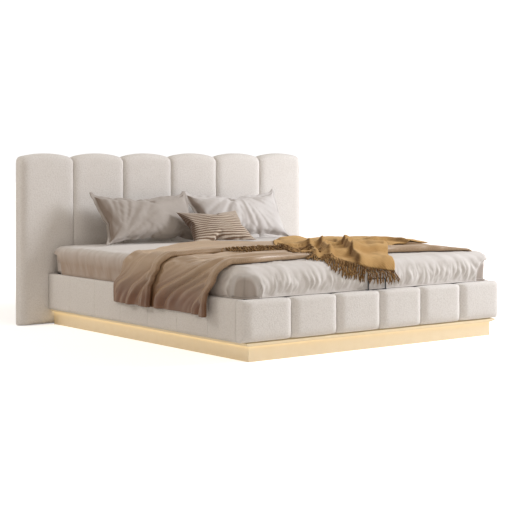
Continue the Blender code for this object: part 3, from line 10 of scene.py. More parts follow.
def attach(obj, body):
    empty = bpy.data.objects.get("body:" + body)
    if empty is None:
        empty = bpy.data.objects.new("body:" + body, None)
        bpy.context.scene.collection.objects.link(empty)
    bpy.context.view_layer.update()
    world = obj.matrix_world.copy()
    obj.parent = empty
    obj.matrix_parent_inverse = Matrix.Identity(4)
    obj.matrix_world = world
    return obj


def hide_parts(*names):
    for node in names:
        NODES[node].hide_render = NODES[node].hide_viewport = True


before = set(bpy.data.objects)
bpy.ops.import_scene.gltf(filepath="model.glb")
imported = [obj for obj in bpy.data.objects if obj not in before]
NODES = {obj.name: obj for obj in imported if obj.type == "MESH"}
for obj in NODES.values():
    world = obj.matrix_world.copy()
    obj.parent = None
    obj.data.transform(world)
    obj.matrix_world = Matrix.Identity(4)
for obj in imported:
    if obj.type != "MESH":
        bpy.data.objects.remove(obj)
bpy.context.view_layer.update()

# Sizes, in metres. The foot end points along -Y and the headboard stands at +Y.
HEADBOARD_WIDE = 2.27
HEADBOARD_TALL = 1.09
CHANNELS = 6
FOOT_Y = -1.10
HEAD_Y = 1.00
BACK_Y = 1.10
FRAME_HALF = 0.95
FRAME_TOP = 0.3245
FRAME_BOTTOM = 0.10
FOOTBOARD_DEPTH = 0.085
SEAT_GAP = 0.0003

# Side rails: their pad's inner edge, their board's outer face, and the pad's upright seams
RAIL_INNER = 0.905
RAIL_BOARD = 0.930
RAIL_FIRST_SEAM = 0.35
RAIL_SEAM_PITCH = 0.295

# Platform: the centre tube, the bowed slats and the cups that hold their ends
TUBE = 0.030
TUBE_LOW = 0.2947
SLAT_ROWS = 14
SLAT_FIRST_Y = -0.882
SLAT_LAST_Y = 0.887
SLAT_WIDE = 0.053
SLAT_THICK = 0.008
SLAT_BOW = 0.015
CUP_WALL = 0.003
CUP_DEEP = 0.026

# Mattress: its plain footprint, the rise of its middle, the swell of its sides above and below, and the
# radii of its upright corners and its upper edge
MATTRESS_HALF = 0.90
MATTRESS_FOOT_Y = -1.015
MATTRESS_HEAD_Y = 0.965
MATTRESS_BOTTOM = 0.3285
MATTRESS_EDGE_TOP = 0.500
MATTRESS_CROWN = 0.018
MATTRESS_BULGE = 0.026
MATTRESS_LOW_BULGE = 0.020
MATTRESS_CORNER = 0.032
MATTRESS_ROLL = 0.045
SHOULDER_Z = MATTRESS_EDGE_TOP - MATTRESS_ROLL

# Half of the way that is clear between the rails
RAIL_CLEAR = 0.9025

# The sheet's arched corner gussets, measured by Y less the distance from the middle line
GUSSET_START = 0.040
GUSSET_WIDE = 0.085
GUSSET_TALL = 0.122
CORNER_SUM = MATTRESS_FOOT_Y - MATTRESS_HALF - 2 * MATTRESS_BULGE
MIDDLE_Y = (MATTRESS_FOOT_Y + MATTRESS_HEAD_Y) / 2
HALF_LENGTH = (MATTRESS_HEAD_Y - MATTRESS_FOOT_Y) / 2


# Making materials

def linear(code):
    """Linear colour from an sRGB hex code."""
    values = [int(code[i:i + 2], 16) / 255 for i in (1, 3, 5)]
    return tuple(v / 12.92 if v <= 0.04045 else ((v + 0.055) / 1.055) ** 2.4 for v in values) + (1.0,)


def add(tree, kind, sockets=None, **settings):
    """Adds one node. Settings are its own, and sockets take a value or another node's output."""
    item = tree.nodes.new(kind)
    for key, value in settings.items():
        setattr(item, key, value)
    for socket, value in (sockets or {}).items():
        if isinstance(value, bpy.types.NodeSocket):
            tree.links.new(value, item.inputs[socket])
        else:
            item.inputs[socket].default_value = value
    return item


def start_material(name, roughness, metallic=0.0, ior=None):
    """A material with its node tree, its shader and object coordinates in metres."""
    material = bpy.data.materials.new(name)
    material.use_nodes = True
    tree = material.node_tree
    shader = tree.nodes["Principled BSDF"]
    shader.inputs["Roughness"].default_value = roughness
    shader.inputs["Metallic"].default_value = metallic
    if ior is not None:
        shader.inputs["IOR"].default_value = ior
    place = tree.nodes.new("ShaderNodeTexCoord").outputs["Object"]
    return material, tree, shader, place


def blend_colours(tree, share, first, second):
    """Output colour between two colours, each a hex code or another node's output."""
    mix = add(tree, "ShaderNodeMix", data_type="RGBA")
    tree.links.new(share, mix.inputs["Factor"])
    for socket, value in ((6, first), (7, second)):
        if isinstance(value, str):
            mix.inputs[socket].default_value = linear(value)
        else:
            tree.links.new(value, mix.inputs[socket])
    return mix.outputs[2]


def relief(tree, shader, height, strength, distance):
    """Gives the shader a bump from a height."""
    bump = add(tree, "ShaderNodeBump", {"Height": height, "Strength": strength, "Distance": distance})
    tree.links.new(bump.outputs["Normal"], shader.inputs["Normal"])


def facing_part(tree, axis):
    """How far the surface faces along an axis of the room."""
    facing = add(tree, "ShaderNodeNewGeometry")
    return add(tree, "ShaderNodeSeparateXYZ", {"Vector": facing.outputs["Normal"]}).outputs[axis]


def colour_so_far(material):
    """The tree and shader of a finished material, and the output that colours it."""
    tree = material.node_tree
    shader = tree.nodes["Principled BSDF"]
    return tree, shader, shader.inputs["Base Color"].links[0].from_socket


def set_sheen(shader, weight, roughness=0.5, tint=None):
    """The soft glow of fibre ends on a cloth."""
    shader.inputs["Sheen Weight"].default_value = weight
    shader.inputs["Sheen Roughness"].default_value = roughness
    if tint:
        shader.inputs["Sheen Tint"].default_value = linear(tint)


def boucle():
    """Looped bouclé upholstery: matt and off-white, with a soft pebbled pile. The loops of about 3 mm are
    drawn 7 mm wide, because smaller ones vanish at this distance."""
    material, tree, shader, place = start_material("boucle_upholstery", 0.95, ior=1.45)
    warp = add(tree, "ShaderNodeTexNoise", {"Vector": place, "Scale": 90.0, "Detail": 2.0})
    bent = add(tree, "ShaderNodeVectorMath", {0: warp.outputs["Color"], 1: (0.004, 0.004, 0.004)},
               operation="MULTIPLY")
    moved = add(tree, "ShaderNodeVectorMath", {0: place, 1: bent.outputs[0]}, operation="ADD")
    loops = add(tree, "ShaderNodeTexVoronoi", {"Vector": moved.outputs[0], "Scale": 145.0},
                feature="SMOOTH_F1")
    cloud = add(tree, "ShaderNodeTexNoise", {"Vector": place, "Scale": 9.0, "Detail": 3.0})
    grain = add(tree, "ShaderNodeTexNoise", {"Vector": place, "Scale": 420.0, "Detail": 2.0})
    # Painted shade: paler on the loops and darker in the hollows between them
    pile = blend_colours(tree, loops.outputs["Distance"], "#E9E6E3", "#D3CECA")
    shade = add(tree, "ShaderNodeMapRange", {"Value": cloud.outputs["Fac"], "From Min": 0.3,
                                             "From Max": 0.7, "To Min": 0.0, "To Max": 0.25})
    tree.links.new(blend_colours(tree, shade.outputs["Result"], pile, "#D8D2CC"), shader.inputs["Base Color"])
    height = add(tree, "ShaderNodeMath", {0: grain.outputs["Fac"], 1: 0.35}, operation="MULTIPLY")
    total = add(tree, "ShaderNodeMath", {0: height.outputs[0], 1: loops.outputs["Distance"]},
                operation="SUBTRACT")
    relief(tree, shader, total.outputs[0], 0.42, 0.0022)
    set_sheen(shader, 0.25, 0.6)
    return material


def woven(name, light, dark, thread, strength):
    """A plain woven cloth: two crossing sets of threads, with slight slubs that vary the colour. The threads
    of about 0.4 mm are drawn 5 mm apart, because finer ones vanish at this distance."""
    material, tree, shader, place = start_material(name, 0.85, ior=1.46)
    bands = {"Scale": 1.0 / thread / math.tau, "Distortion": 1.2, "Detail": 1.0, "Detail Scale": 2.0}
    first = add(tree, "ShaderNodeTexWave", {"Vector": place, **bands}, bands_direction="DIAGONAL")
    turned = add(tree, "ShaderNodeMapping", {"Vector": place, "Rotation": (0.0, 0.0, math.pi / 2)})
    second = add(tree, "ShaderNodeTexWave", {"Vector": turned.outputs[0], **bands},
                 bands_direction="DIAGONAL")
    weave = add(tree, "ShaderNodeMath", {0: first.outputs["Fac"], 1: second.outputs["Fac"]},
                operation="MULTIPLY")
    cloud = add(tree, "ShaderNodeTexNoise", {"Vector": place, "Scale": 14.0, "Detail": 4.0})
    slub = add(tree, "ShaderNodeMapRange", {"Value": cloud.outputs["Fac"], "From Min": 0.3, "From Max": 0.7,
                                            "To Min": 0.0, "To Max": 0.6})
    base = blend_colours(tree, slub.outputs["Result"], light, dark)
    fine = add(tree, "ShaderNodeMapRange", {"Value": weave.outputs[0], "To Min": 0.25, "To Max": 0.0})
    tree.links.new(blend_colours(tree, fine.outputs["Result"], base, dark), shader.inputs["Base Color"])
    relief(tree, shader, weave.outputs[0], strength, thread * 0.5)
    set_sheen(shader, 0.15)
    return material


def half_shade(tree, base, shade, most):
    """Painted shade: a soft cloth's colour, deeper and warmer where it turns left, away from the light."""
    # Painted shade, growing as the surface turns left, away from the key light
    turned = add(tree, "ShaderNodeMapRange", {"Value": facing_part(tree, "X"), "From Min": 0.05,
                                              "From Max": -0.65, "To Min": 0.0, "To Max": most})
    return blend_colours(tree, turned.outputs["Result"], base, shade)


def pillowcase(name, light, dark):
    """Washed linen of a pillowcase, with painted warm shade where its creases and ends turn from the light.
    """
    material = woven(name, light, dark, 0.0026, 0.35)
    tree, shader, plain = colour_so_far(material)
    # Painted shade where the linen turns left, away from the key light
    tree.links.new(half_shade(tree, plain, "#7B695B", 0.8), shader.inputs["Base Color"])
    return material


def fitted_sheet():
    """The washed cotton sheet, thin and tight along the bed. Its sides get painted shade, browner lower down
    and away from the foot end, and the arched gusset in each foot corner gets darker painted shade."""
    material = woven("washed_cotton_sheet", "#DEDAD7", "#D2CDC9", 0.0022, 0.25)
    tree, shader, plain = colour_so_far(material)
    place = add(tree, "ShaderNodeTexCoord").outputs["Object"]
    split = add(tree, "ShaderNodeSeparateXYZ", {"Vector": place})
    out = add(tree, "ShaderNodeMath", {0: split.outputs["X"]}, operation="ABSOLUTE")
    # Painted shade on the sheet's lower sides, fading out towards the foot end
    side = add(tree, "ShaderNodeMapRange", {"Value": out.outputs[0], "From Min": 0.885, "From Max": 0.925})
    along = add(tree, "ShaderNodeMapRange", {"Value": split.outputs["Y"], "From Min": -0.98,
                                             "From Max": -0.55})
    low = add(tree, "ShaderNodeMapRange", {"Value": split.outputs["Z"], "From Min": 0.50, "From Max": 0.40,
                                           "To Min": 0.25, "To Max": 0.85})
    share = add(tree, "ShaderNodeMath", {0: side.outputs["Result"], 1: low.outputs["Result"]},
                operation="MULTIPLY")
    total = add(tree, "ShaderNodeMath", {0: share.outputs[0], 1: along.outputs["Result"]},
                operation="MULTIPLY")
    painted_side_shade = blend_colours(tree, total.outputs[0], plain, "#A48C78")
    # Painted shade in the recessed arched gusset of each foot corner, darkest inside the arch
    from_corner = add(tree, "ShaderNodeMath", {0: split.outputs["Y"], 1: out.outputs[0]},
                      operation="SUBTRACT")
    across = add(tree, "ShaderNodeMapRange", {"Value": from_corner.outputs[0],
                                              "From Min": CORNER_SUM + GUSSET_START,
                                              "From Max": CORNER_SUM + GUSSET_START + GUSSET_WIDE})
    rise = add(tree, "ShaderNodeMapRange", {"Value": split.outputs["Z"], "From Min": MATTRESS_BOTTOM,
                                            "From Max": MATTRESS_BOTTOM + GUSSET_TALL})
    spot = add(tree, "ShaderNodeCombineXYZ", {"X": across.outputs["Result"], "Y": rise.outputs["Result"]})
    arch = add(tree, "ShaderNodeVectorMath", {0: spot.outputs[0]}, operation="LENGTH")
    gusset = add(tree, "ShaderNodeMapRange", {"Value": arch.outputs["Value"], "From Min": 0.98,
                                              "From Max": 0.78, "To Min": 0.0, "To Max": 0.75})
    tree.links.new(blend_colours(tree, gusset.outputs["Result"], painted_side_shade, "#96877B"), shader.inputs["Base Color"])
    return material


def sateen():
    """Taupe sateen: floats of fine yarn give a broad soft gloss along the folds, and are drawn 4 mm apart so
    that they show. Its colour holds painted light, paler where it faces upwards and higher over the bed's
    edge, and painted shade, warmer and darker where it faces sideways or down and lower towards the hem."""
    material, tree, shader, place = start_material("taupe_sateen_cloth", 0.40, ior=1.5)
    threads = add(tree, "ShaderNodeTexWave", {"Vector": place, "Scale": 70.0, "Distortion": 2.5,
                                              "Detail": 2.0}, bands_direction="Y")
    cloud = add(tree, "ShaderNodeTexNoise", {"Vector": place, "Scale": 7.0, "Detail": 4.0})
    share = add(tree, "ShaderNodeMapRange", {"Value": cloud.outputs["Fac"], "From Min": 0.3, "From Max": 0.7})
    deep = blend_colours(tree, share.outputs["Result"], "#724829", "#5F3A1F")
    split = add(tree, "ShaderNodeSeparateXYZ", {"Vector": place})
    # Painted light and shade: paler higher up the hang, darker lower towards the hem
    rubbed = add(tree, "ShaderNodeMapRange", {"Value": split.outputs["Z"], "From Min": 0.28, "From Max": 0.50,
                                              "To Min": 0.0, "To Max": 0.65})
    dark = blend_colours(tree, rubbed.outputs["Result"], deep, "#D2B999")
    # Painted light: paler where the cloth faces upwards, darker where it faces sideways or down
    up = add(tree, "ShaderNodeMapRange", {"Value": facing_part(tree, "Z"), "From Min": -0.1,
                                          "From Max": 0.85, "To Min": 0.0, "To Max": 0.9})
    base = blend_colours(tree, up.outputs["Result"], dark, "#A88D70")
    fine = add(tree, "ShaderNodeMapRange", {"Value": threads.outputs["Fac"], "To Min": 0.0, "To Max": 0.2})
    tree.links.new(blend_colours(tree, fine.outputs["Result"], base, "#5E4430"), shader.inputs["Base Color"])
    rough = add(tree, "ShaderNodeMapRange", {"Value": cloud.outputs["Fac"], "To Min": 0.36, "To Max": 0.46})
    tree.links.new(rough.outputs["Result"], shader.inputs["Roughness"])
    relief(tree, shader, threads.outputs["Fac"], 0.12, 0.0008)
    set_sheen(shader, 0.45, 0.35, "#E2C8A6")
    return material


def wool(name, light, dark, shade):
    """Loose wool twill: matt and hairy, with diagonal ribs of about 3 mm drawn 10 mm apart so that they
    show."""
    material, tree, shader, place = start_material(name, 0.95, ior=1.45)
    ribs = add(tree, "ShaderNodeTexWave", {"Vector": place, "Scale": 32.0, "Distortion": 3.0, "Detail": 2.0,
                                           "Detail Scale": 3.0}, bands_direction="DIAGONAL")
    hair = add(tree, "ShaderNodeTexNoise", {"Vector": place, "Scale": 260.0, "Detail": 3.0})
    cloud = add(tree, "ShaderNodeTexNoise", {"Vector": place, "Scale": 11.0, "Detail": 3.0})
    share = add(tree, "ShaderNodeMapRange", {"Value": cloud.outputs["Fac"], "From Min": 0.3, "From Max": 0.7})
    base = blend_colours(tree, share.outputs["Result"], light, dark)
    fine = add(tree, "ShaderNodeMapRange", {"Value": ribs.outputs["Fac"], "To Min": 0.45, "To Max": 0.0})
    ribbed = blend_colours(tree, fine.outputs["Result"], base, shade)
    # Painted shade: deeper brown where the twill turns left, away from the key light
    tree.links.new(half_shade(tree, ribbed, "#4A2E14", 0.9), shader.inputs["Base Color"])
    height = add(tree, "ShaderNodeMath", {0: ribs.outputs["Fac"], 1: hair.outputs["Fac"]}, operation="ADD")
    relief(tree, shader, height.outputs[0], 0.5, 0.0016)
    set_sheen(shader, 0.8, tint="#DDBD8C")
    return material


def striped_knit():
    """Fine knit in cream and brown yarns, in stripes 18 mm apart, wavy as the cloth is pulled over its
    filling."""
    material, tree, shader, place = start_material("striped_knit_cover", 0.9, ior=1.45)
    uv = add(tree, "ShaderNodeUVMap").outputs["UV"]
    stripes = add(tree, "ShaderNodeTexWave", {"Vector": uv, "Scale": 17.6, "Distortion": 2.2, "Detail": 2.0,
                                              "Detail Scale": 0.7}, bands_direction="Y")
    loops = add(tree, "ShaderNodeTexWave", {"Vector": uv, "Scale": 26.0, "Distortion": 0.8},
                bands_direction="X")
    edge = add(tree, "ShaderNodeMapRange", {"Value": stripes.outputs["Fac"], "From Min": 0.35,
                                            "From Max": 0.65})
    cloud = add(tree, "ShaderNodeTexNoise", {"Vector": place, "Scale": 18.0, "Detail": 3.0})
    cream = blend_colours(tree, cloud.outputs["Fac"], "#E4D8C9", "#BBA893")
    striped = blend_colours(tree, edge.outputs["Result"], "#78604C", cream)
    # Painted shade: deeper brown where the cover turns left, away from the key light
    tree.links.new(half_shade(tree, striped, "#472F1F", 0.9), shader.inputs["Base Color"])
    height = add(tree, "ShaderNodeMath", {0: stripes.outputs["Fac"], 1: loops.outputs["Fac"]},
                 operation="ADD")
    relief(tree, shader, height.outputs[0], 0.45, 0.0018)
    set_sheen(shader, 0.3)
    return material


def painted(name, light, dark, roughness, grit):
    """A sprayed or powder coat, or a moulded face: even colour with a fine orange-peel surface and slightly
    rubbed patches."""
    material, tree, shader, place = start_material(name, roughness, ior=1.5)
    cloud = add(tree, "ShaderNodeTexNoise", {"Vector": place, "Scale": 6.0, "Detail": 5.0})
    peel = add(tree, "ShaderNodeTexNoise", {"Vector": place, "Scale": 1.0 / grit, "Detail": 2.0})
    share = add(tree, "ShaderNodeMapRange", {"Value": cloud.outputs["Fac"], "From Min": 0.35,
                                             "From Max": 0.65})
    tree.links.new(blend_colours(tree, share.outputs["Result"], light, dark), shader.inputs["Base Color"])
    rough = add(tree, "ShaderNodeMapRange", {"Value": cloud.outputs["Fac"], "To Min": roughness * 0.85,
                                             "To Max": min(1.0, roughness * 1.2)})
    tree.links.new(rough.outputs["Result"], shader.inputs["Roughness"])
    relief(tree, shader, peel.outputs["Fac"], 0.15, grit * 0.4)
    return material


def wood(name, light, dark, stretch, ring, roughness):
    """Sawn and lacquered timber: long grain lines along one axis, with a fine pore bump."""
    material, tree, shader, place = start_material(name, roughness, ior=1.5)
    along = add(tree, "ShaderNodeMapping", {"Vector": place, "Scale": stretch})
    grain = add(tree, "ShaderNodeTexNoise", {"Vector": along.outputs[0], "Scale": 1.0 / ring, "Detail": 6.0,
                                             "Roughness": 0.6})
    lines = add(tree, "ShaderNodeTexNoise", {"Vector": along.outputs[0], "Scale": 4.0 / ring, "Detail": 2.0})
    share = add(tree, "ShaderNodeMapRange", {"Value": grain.outputs["Fac"], "From Min": 0.35,
                                             "From Max": 0.65})
    tree.links.new(blend_colours(tree, share.outputs["Result"], light, dark), shader.inputs["Base Color"])
    relief(tree, shader, lines.outputs["Fac"], 0.15, 0.0006)
    return material


def bare_metal(name, light, dark, roughness, stretch):
    """Plated or polished steel: bright, with fine marks along the way it was drawn or rolled."""
    material, tree, shader, place = start_material(name, roughness, 1.0)
    along = add(tree, "ShaderNodeMapping", {"Vector": place, "Scale": stretch})
    marks = add(tree, "ShaderNodeTexNoise", {"Vector": along.outputs[0], "Scale": 900.0, "Detail": 2.0})
    cloud = add(tree, "ShaderNodeTexNoise", {"Vector": place, "Scale": 60.0, "Detail": 3.0})
    tree.links.new(blend_colours(tree, cloud.outputs["Fac"], light, dark), shader.inputs["Base Color"])
    rough = add(tree, "ShaderNodeMapRange", {"Value": marks.outputs["Fac"], "To Min": roughness * 0.7,
                                             "To Max": roughness * 1.4})
    tree.links.new(rough.outputs["Result"], shader.inputs["Roughness"])
    return material


def lining():
    """Black spunbonded lining: thin and matt, pressed with a grid of small dots 4 mm apart."""
    material, tree, shader, place = start_material("spunbonded_lining", 0.9, ior=1.45)
    dots = add(tree, "ShaderNodeTexVoronoi", {"Vector": place, "Scale": 250.0, "Randomness": 0.15})
    cloud = add(tree, "ShaderNodeTexNoise", {"Vector": place, "Scale": 5.0, "Detail": 5.0})
    base = blend_colours(tree, cloud.outputs["Fac"], "#2E2D2D", "#242324")
    press = add(tree, "ShaderNodeMapRange", {"Value": dots.outputs["Distance"], "From Min": 0.1,
                                             "From Max": 0.4})
    tree.links.new(blend_colours(tree, press.outputs["Result"], "#1A191A", base), shader.inputs["Base Color"])
    relief(tree, shader, press.outputs["Result"], 0.4, 0.0006)
    return material


def light_strip(colour, strength):
    """A strip of diodes in a cream profile: only its milky underside shines, a little brighter under each
    diode."""
    material, tree, shader, place = start_material("milky_light_strip", 0.4, ior=1.49)
    shader.inputs["Base Color"].default_value = linear("#EADCC2")
    beads = add(tree, "ShaderNodeTexNoise", {"Vector": place, "Scale": 30.0, "Detail": 1.0})
    power = add(tree, "ShaderNodeMapRange", {"Value": beads.outputs["Fac"], "To Min": strength * 0.9,
                                             "To Max": strength * 1.1})
    under = add(tree, "ShaderNodeMath", {0: facing_part(tree, "Z"), 1: -0.5}, operation="LESS_THAN")
    shining = add(tree, "ShaderNodeMath", {0: power.outputs["Result"], 1: under.outputs[0]},
                  operation="MULTIPLY")
    shader.inputs["Emission Color"].default_value = linear(colour)
    tree.links.new(shining.outputs[0], shader.inputs["Emission Strength"])
    return material


def plinth_finish():
    """Cream lacquered board with a painted glow for the warm light of the strip above it: it gives off pale
    light at the top and golden light near the floor."""
    material, tree, shader, place = start_material("cream_lacquered_plinth", 0.45, ior=1.5)
    split = add(tree, "ShaderNodeSeparateXYZ", {"Vector": place})
    rise = add(tree, "ShaderNodeMapRange", {"Value": split.outputs["Z"], "From Min": 0.0, "From Max": 0.085})
    cloud = add(tree, "ShaderNodeTexNoise", {"Vector": place, "Scale": 25.0, "Detail": 3.0})
    peel = add(tree, "ShaderNodeTexNoise", {"Vector": place, "Scale": 700.0, "Detail": 2.0})
    base = blend_colours(tree, cloud.outputs["Fac"], "#EADCC2", "#E4D3B4")
    tree.links.new(base, shader.inputs["Base Color"])
    # Painted light: the board glows, golden near the floor and pale at the top
    glow = blend_colours(tree, rise.outputs["Result"], "#D9AC62", "#F0D9A4")
    tree.links.new(glow, shader.inputs["Emission Color"])
    power = add(tree, "ShaderNodeMapRange", {"Value": rise.outputs["Result"], "To Min": 0.08, "To Max": 0.14})
    tree.links.new(power.outputs["Result"], shader.inputs["Emission Strength"])
    relief(tree, shader, peel.outputs["Fac"], 0.08, 0.0004)
    return material


BOUCLE = boucle()
SHEET = fitted_sheet()
# The two pillowcases are one linen: the left one's darker colours are painted shade, the right one's paler
# colours painted light
CASE = pillowcase("linen_pillowcase", "#DAD7D6", "#CBC6C3")
CASE_LEFT_PAINTED_SHADE = pillowcase("linen_pillowcase_painted_shade", "#B9B2AC", "#A39A93")
SATEEN = sateen()
WOOL = wool("mustard_wool_twill", "#CCA56C", "#B48C53", "#8A6434")
# The fringe is the throw's wool painted darker, as painted shade between its dense strands
FRINGE_WOOL_PAINTED_SHADE = wool("twisted_mustard_wool_painted_shade", "#B58A50", "#855E34", "#54371D")
KNIT = striped_knit()
LINING = lining()
PLYWOOD = wood("birch_plywood_board", "#D2B58A", "#BC9A6A", (1.0, 1.0, 14.0), 0.02, 0.55)
BEECH = wood("lacquered_beech_slat", "#E0C294", "#CFA974", (0.08, 1.0, 1.0), 0.006, 0.4)
BOARD = painted("grey_faced_board", "#96928D", "#8A8681", 0.6, 0.003)
PLINTH = plinth_finish()
STRIP = light_strip("#FFE2A8", 1.8)
COAT = painted("black_powder_coat_steel", "#242426", "#2C2C2F", 0.45, 0.0012)
NYLON = painted("moulded_black_nylon", "#1B1B1D", "#232326", 0.5, 0.002)
ZINC = bare_metal("zinc_plated_sheet", "#BFC2C6", "#A9ADB2", 0.35, (1.0, 1.0, 0.1))
CHROME = bare_metal("hard_chromed_rod", "#DDDFE2", "#CFD2D6", 0.12, (1.0, 0.2, 0.2))

NODE_FINISH = {
    "headboard_board": PLYWOOD, "footboard_board": PLYWOOD, "centre_beam": PLYWOOD,
    "side_rail_board": PLYWOOD, "headboard_back_cover": LINING, "plinth": PLINTH, "light_strip": STRIP,
    "storage_floor": BOARD, "corner_bracket": ZINC, "strut_pin": ZINC, "lift_base": COAT,
    "roller_track": COAT, "swing_arm": COAT, "strut_cylinder": COAT, "strut_rod": CHROME,
    "track_roller": NYLON, "platform_rest": NYLON, "platform": COAT, "mattress_stop": COAT,
    "slat_deck": BEECH,
}
for node_name, item in NODES.items():
    for start in sorted(NODE_FINISH, key=len, reverse=True):
        if node_name.startswith(start):
            for place in item.material_slots:
                place.material = NODE_FINISH[start]
            break


# Making meshes

def put_in_scene(name, data):
    """A new object of the scene from its mesh, lamp or camera."""
    item = bpy.data.objects.new(name, data)
    bpy.context.scene.collection.objects.link(item)
    return item


def make_piece(name, points, faces, material, body, smooth=True, levels=0, uvs=None):
    """A named piece from points and faces that rides on a body."""
    mesh = bpy.data.meshes.new(name)
    mesh.from_pydata([tuple(p) for p in points], [], [tuple(f) for f in faces])
    if uvs is not None:
        layer = mesh.uv_layers.new(name="cloth")
        corners = np.zeros(len(mesh.loops), dtype=np.int32)
        mesh.loops.foreach_get("vertex_index", corners)
        layer.data.foreach_set("uv", np.asarray(uvs, float)[corners].ravel())
    if smooth:
        mesh.shade_smooth()
    mesh.materials.append(material)
    item = put_in_scene(name, mesh)
    if levels:
        finer = item.modifiers.new("finer", "SUBSURF")
        finer.levels = levels
        finer.render_levels = levels
    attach(item, body)
    return item


def loft_faces(rows, columns):
    """Faces through loops of points, closed round each loop and capped at both ends."""
    faces = []
    for row in range(rows - 1):
        for column in range(columns):
            after = (column + 1) % columns
            faces.append((row * columns + column, row * columns + after,
                          (row + 1) * columns + after, (row + 1) * columns + column))
    faces.append(tuple(range(columns))[::-1])
    faces.append(tuple(range((rows - 1) * columns, rows * columns)))
    return faces


def cloth_faces(rows, columns):
    """Faces of an open cloth through rows of points."""
    faces = []
    for row in range(rows - 1):
        for column in range(columns - 1):
            first = row * columns + column
            faces.append((first, first + columns, first + columns + 1, first + 1))
    return faces


def give_thickness(item, thickness):
    """Makes an open cloth as thick as the real one, half to each side."""
    body = item.modifiers.new("thickness", "SOLIDIFY")
    body.thickness = thickness
    body.offset = 0.0


def wander(*place):
    """Smooth noise at up to three numbers."""
    return noise.noise(Vector(place + (0.0,) * (3 - len(place))))


def facing_out(item):
    """Turns a closed piece's faces outwards."""
    builder = bmesh.new()
    builder.from_mesh(item.data)
    bmesh.ops.recalc_face_normals(builder, faces=builder.faces)
    builder.to_mesh(item.data)
    builder.free()


def rounding(radius, distance):
    """How far a rounded edge falls back at a distance from its end."""
    if distance >= radius:
        return 0.0
    return radius - math.sqrt(max(radius ** 2 - (radius - distance) ** 2, 0.0))


def arc(centre, radius, first, last, steps):
    """Points of an arc in a plane, from one angle to another in degrees."""
    points = []
    for step in range(steps + 1):
        angle = math.radians(first + (last - first) * step / steps)
        points.append((centre[0] + radius * math.cos(angle), centre[1] + radius * math.sin(angle)))
    return points


def smooth_step(low, high, value):
    """0 below low, 1 above high and a smooth rise between."""
    share = min(max((value - low) / (high - low), 0.0), 1.0)
    return share * share * (3 - 2 * share)


def crease(along, across, seed):
    """Rounded swells with a sharp valley between them, across a set of folds."""
    return min(abs(wander(across, along, seed)) * 2.2, 1.0)


# Channelled upholstery

def channel_piece(board, index, width, front, back, bottom, top, rise, seam, seam_wide, seam_drop,
                  top_radius, rear_radius, end_depth, end_wide, end_swell, corner_radius):
    """One padded channel in fine mesh, with small puckers beside its seams. The seams pull its face in by
    seam and its top down by seam_drop, over seam_wide, and rise is how far its top arches."""
    columns = 12
    pitch = width / CHANNELS
    middle = -width / 2 + pitch * (index + 0.5)
    half = pitch / 2 - SEAT_GAP / 2
    loops = []
    for column in range(-columns, columns + 1):
        x = middle + half * math.sin(math.pi / 2 * column / columns)
        to_end = width / 2 - abs(x)
        share = min(abs(x - middle) * 2 / pitch, 1.0)
        outer = (index == 0 and column < 0) or (index == CHANNELS - 1 and column > 0)
        to_seam = pitch / 2 * (1 - share)
        if outer:
            face = front + end_depth * rounding(end_wide, to_end) / end_wide
            rear = back - rounding(rear_radius, to_end)
            drop = 0.0
            x += math.copysign(end_swell * share ** 6, x)
        else:
            pull = rounding(seam_wide, to_seam) / seam_wide
            face = front + seam * pull
            rear = back
            drop = seam_drop * pull
        peak = top - rise * share ** 2 - drop - rounding(corner_radius, to_end)
        most = (rear - face) * 0.46
        round_front = min(top_radius, most)
        round_rear = min(rear_radius, most)
        outline = []
        levels = max(int((peak - round_front - bottom) / 0.022), 4)
        for level in range(levels):
            z = bottom + (peak - round_front - bottom) * level / levels
            pucker = crease(x * 4, z * 26, index) * 0.0022 * smooth_step(0.72, 0.97, share) * (not outer)
            swell = 0.0012 * wander(x * 6, z * 5, 3.0 + index)
            tuck = 0.006 * math.exp(-((z - bottom) / 0.012) ** 2)
            outline.append((face + pucker + swell + tuck, z))
        outline += arc((face + round_front, peak - round_front), round_front, 180, 90, 6)
        outline += arc((rear - round_rear, peak - round_rear), round_rear, 90, 0, 4)
        for level in range(1, levels + 1):
            outline.append((rear, (peak - round_rear) + (bottom - peak + round_rear) * level / levels))
        loops.append([(x, y, z) for y, z in outline])
    fewest = min(len(loop) for loop in loops)
    points = []
    for loop in loops:
        if len(loop) != fewest:
            spare = len(loop) - fewest
            first_cut = spare // 2
            loop = loop[:1] + loop[1 + first_cut:len(loop) - (spare - first_cut)]
            loop[-1] = (loop[-1][0], loop[-1][1], bottom)
        points += loop
    item = make_piece(f"{board}_padding_{index + 1}", points, loft_faces(len(loops), fewest), BOUCLE,
                      "bed_frame", levels=1)
    facing_out(item)
    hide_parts(f"{board}_channel_{index + 1}")


for index in range(CHANNELS):
    channel_piece("headboard", index, HEADBOARD_WIDE, front=HEAD_Y, back=BACK_Y - 0.0035,
                  bottom=0.0, top=HEADBOARD_TALL, rise=0.026, seam=0.019, seam_wide=0.050,
                  seam_drop=0.008, top_radius=0.045, rear_radius=0.018, end_depth=0.040,
                  end_wide=0.060, end_swell=0.0, corner_radius=0.024)
    channel_piece("footboard", index, 2 * FRAME_HALF, front=FOOT_Y, back=FOOT_Y + FOOTBOARD_DEPTH,
                  bottom=FRAME_BOTTOM, top=FRAME_TOP, rise=0.002, seam=0.032, seam_wide=0.052,
                  seam_drop=0.005, top_radius=0.022, rear_radius=0.010, end_depth=0.030,
                  end_wide=0.048, end_swell=0.010, corner_radius=0.010)


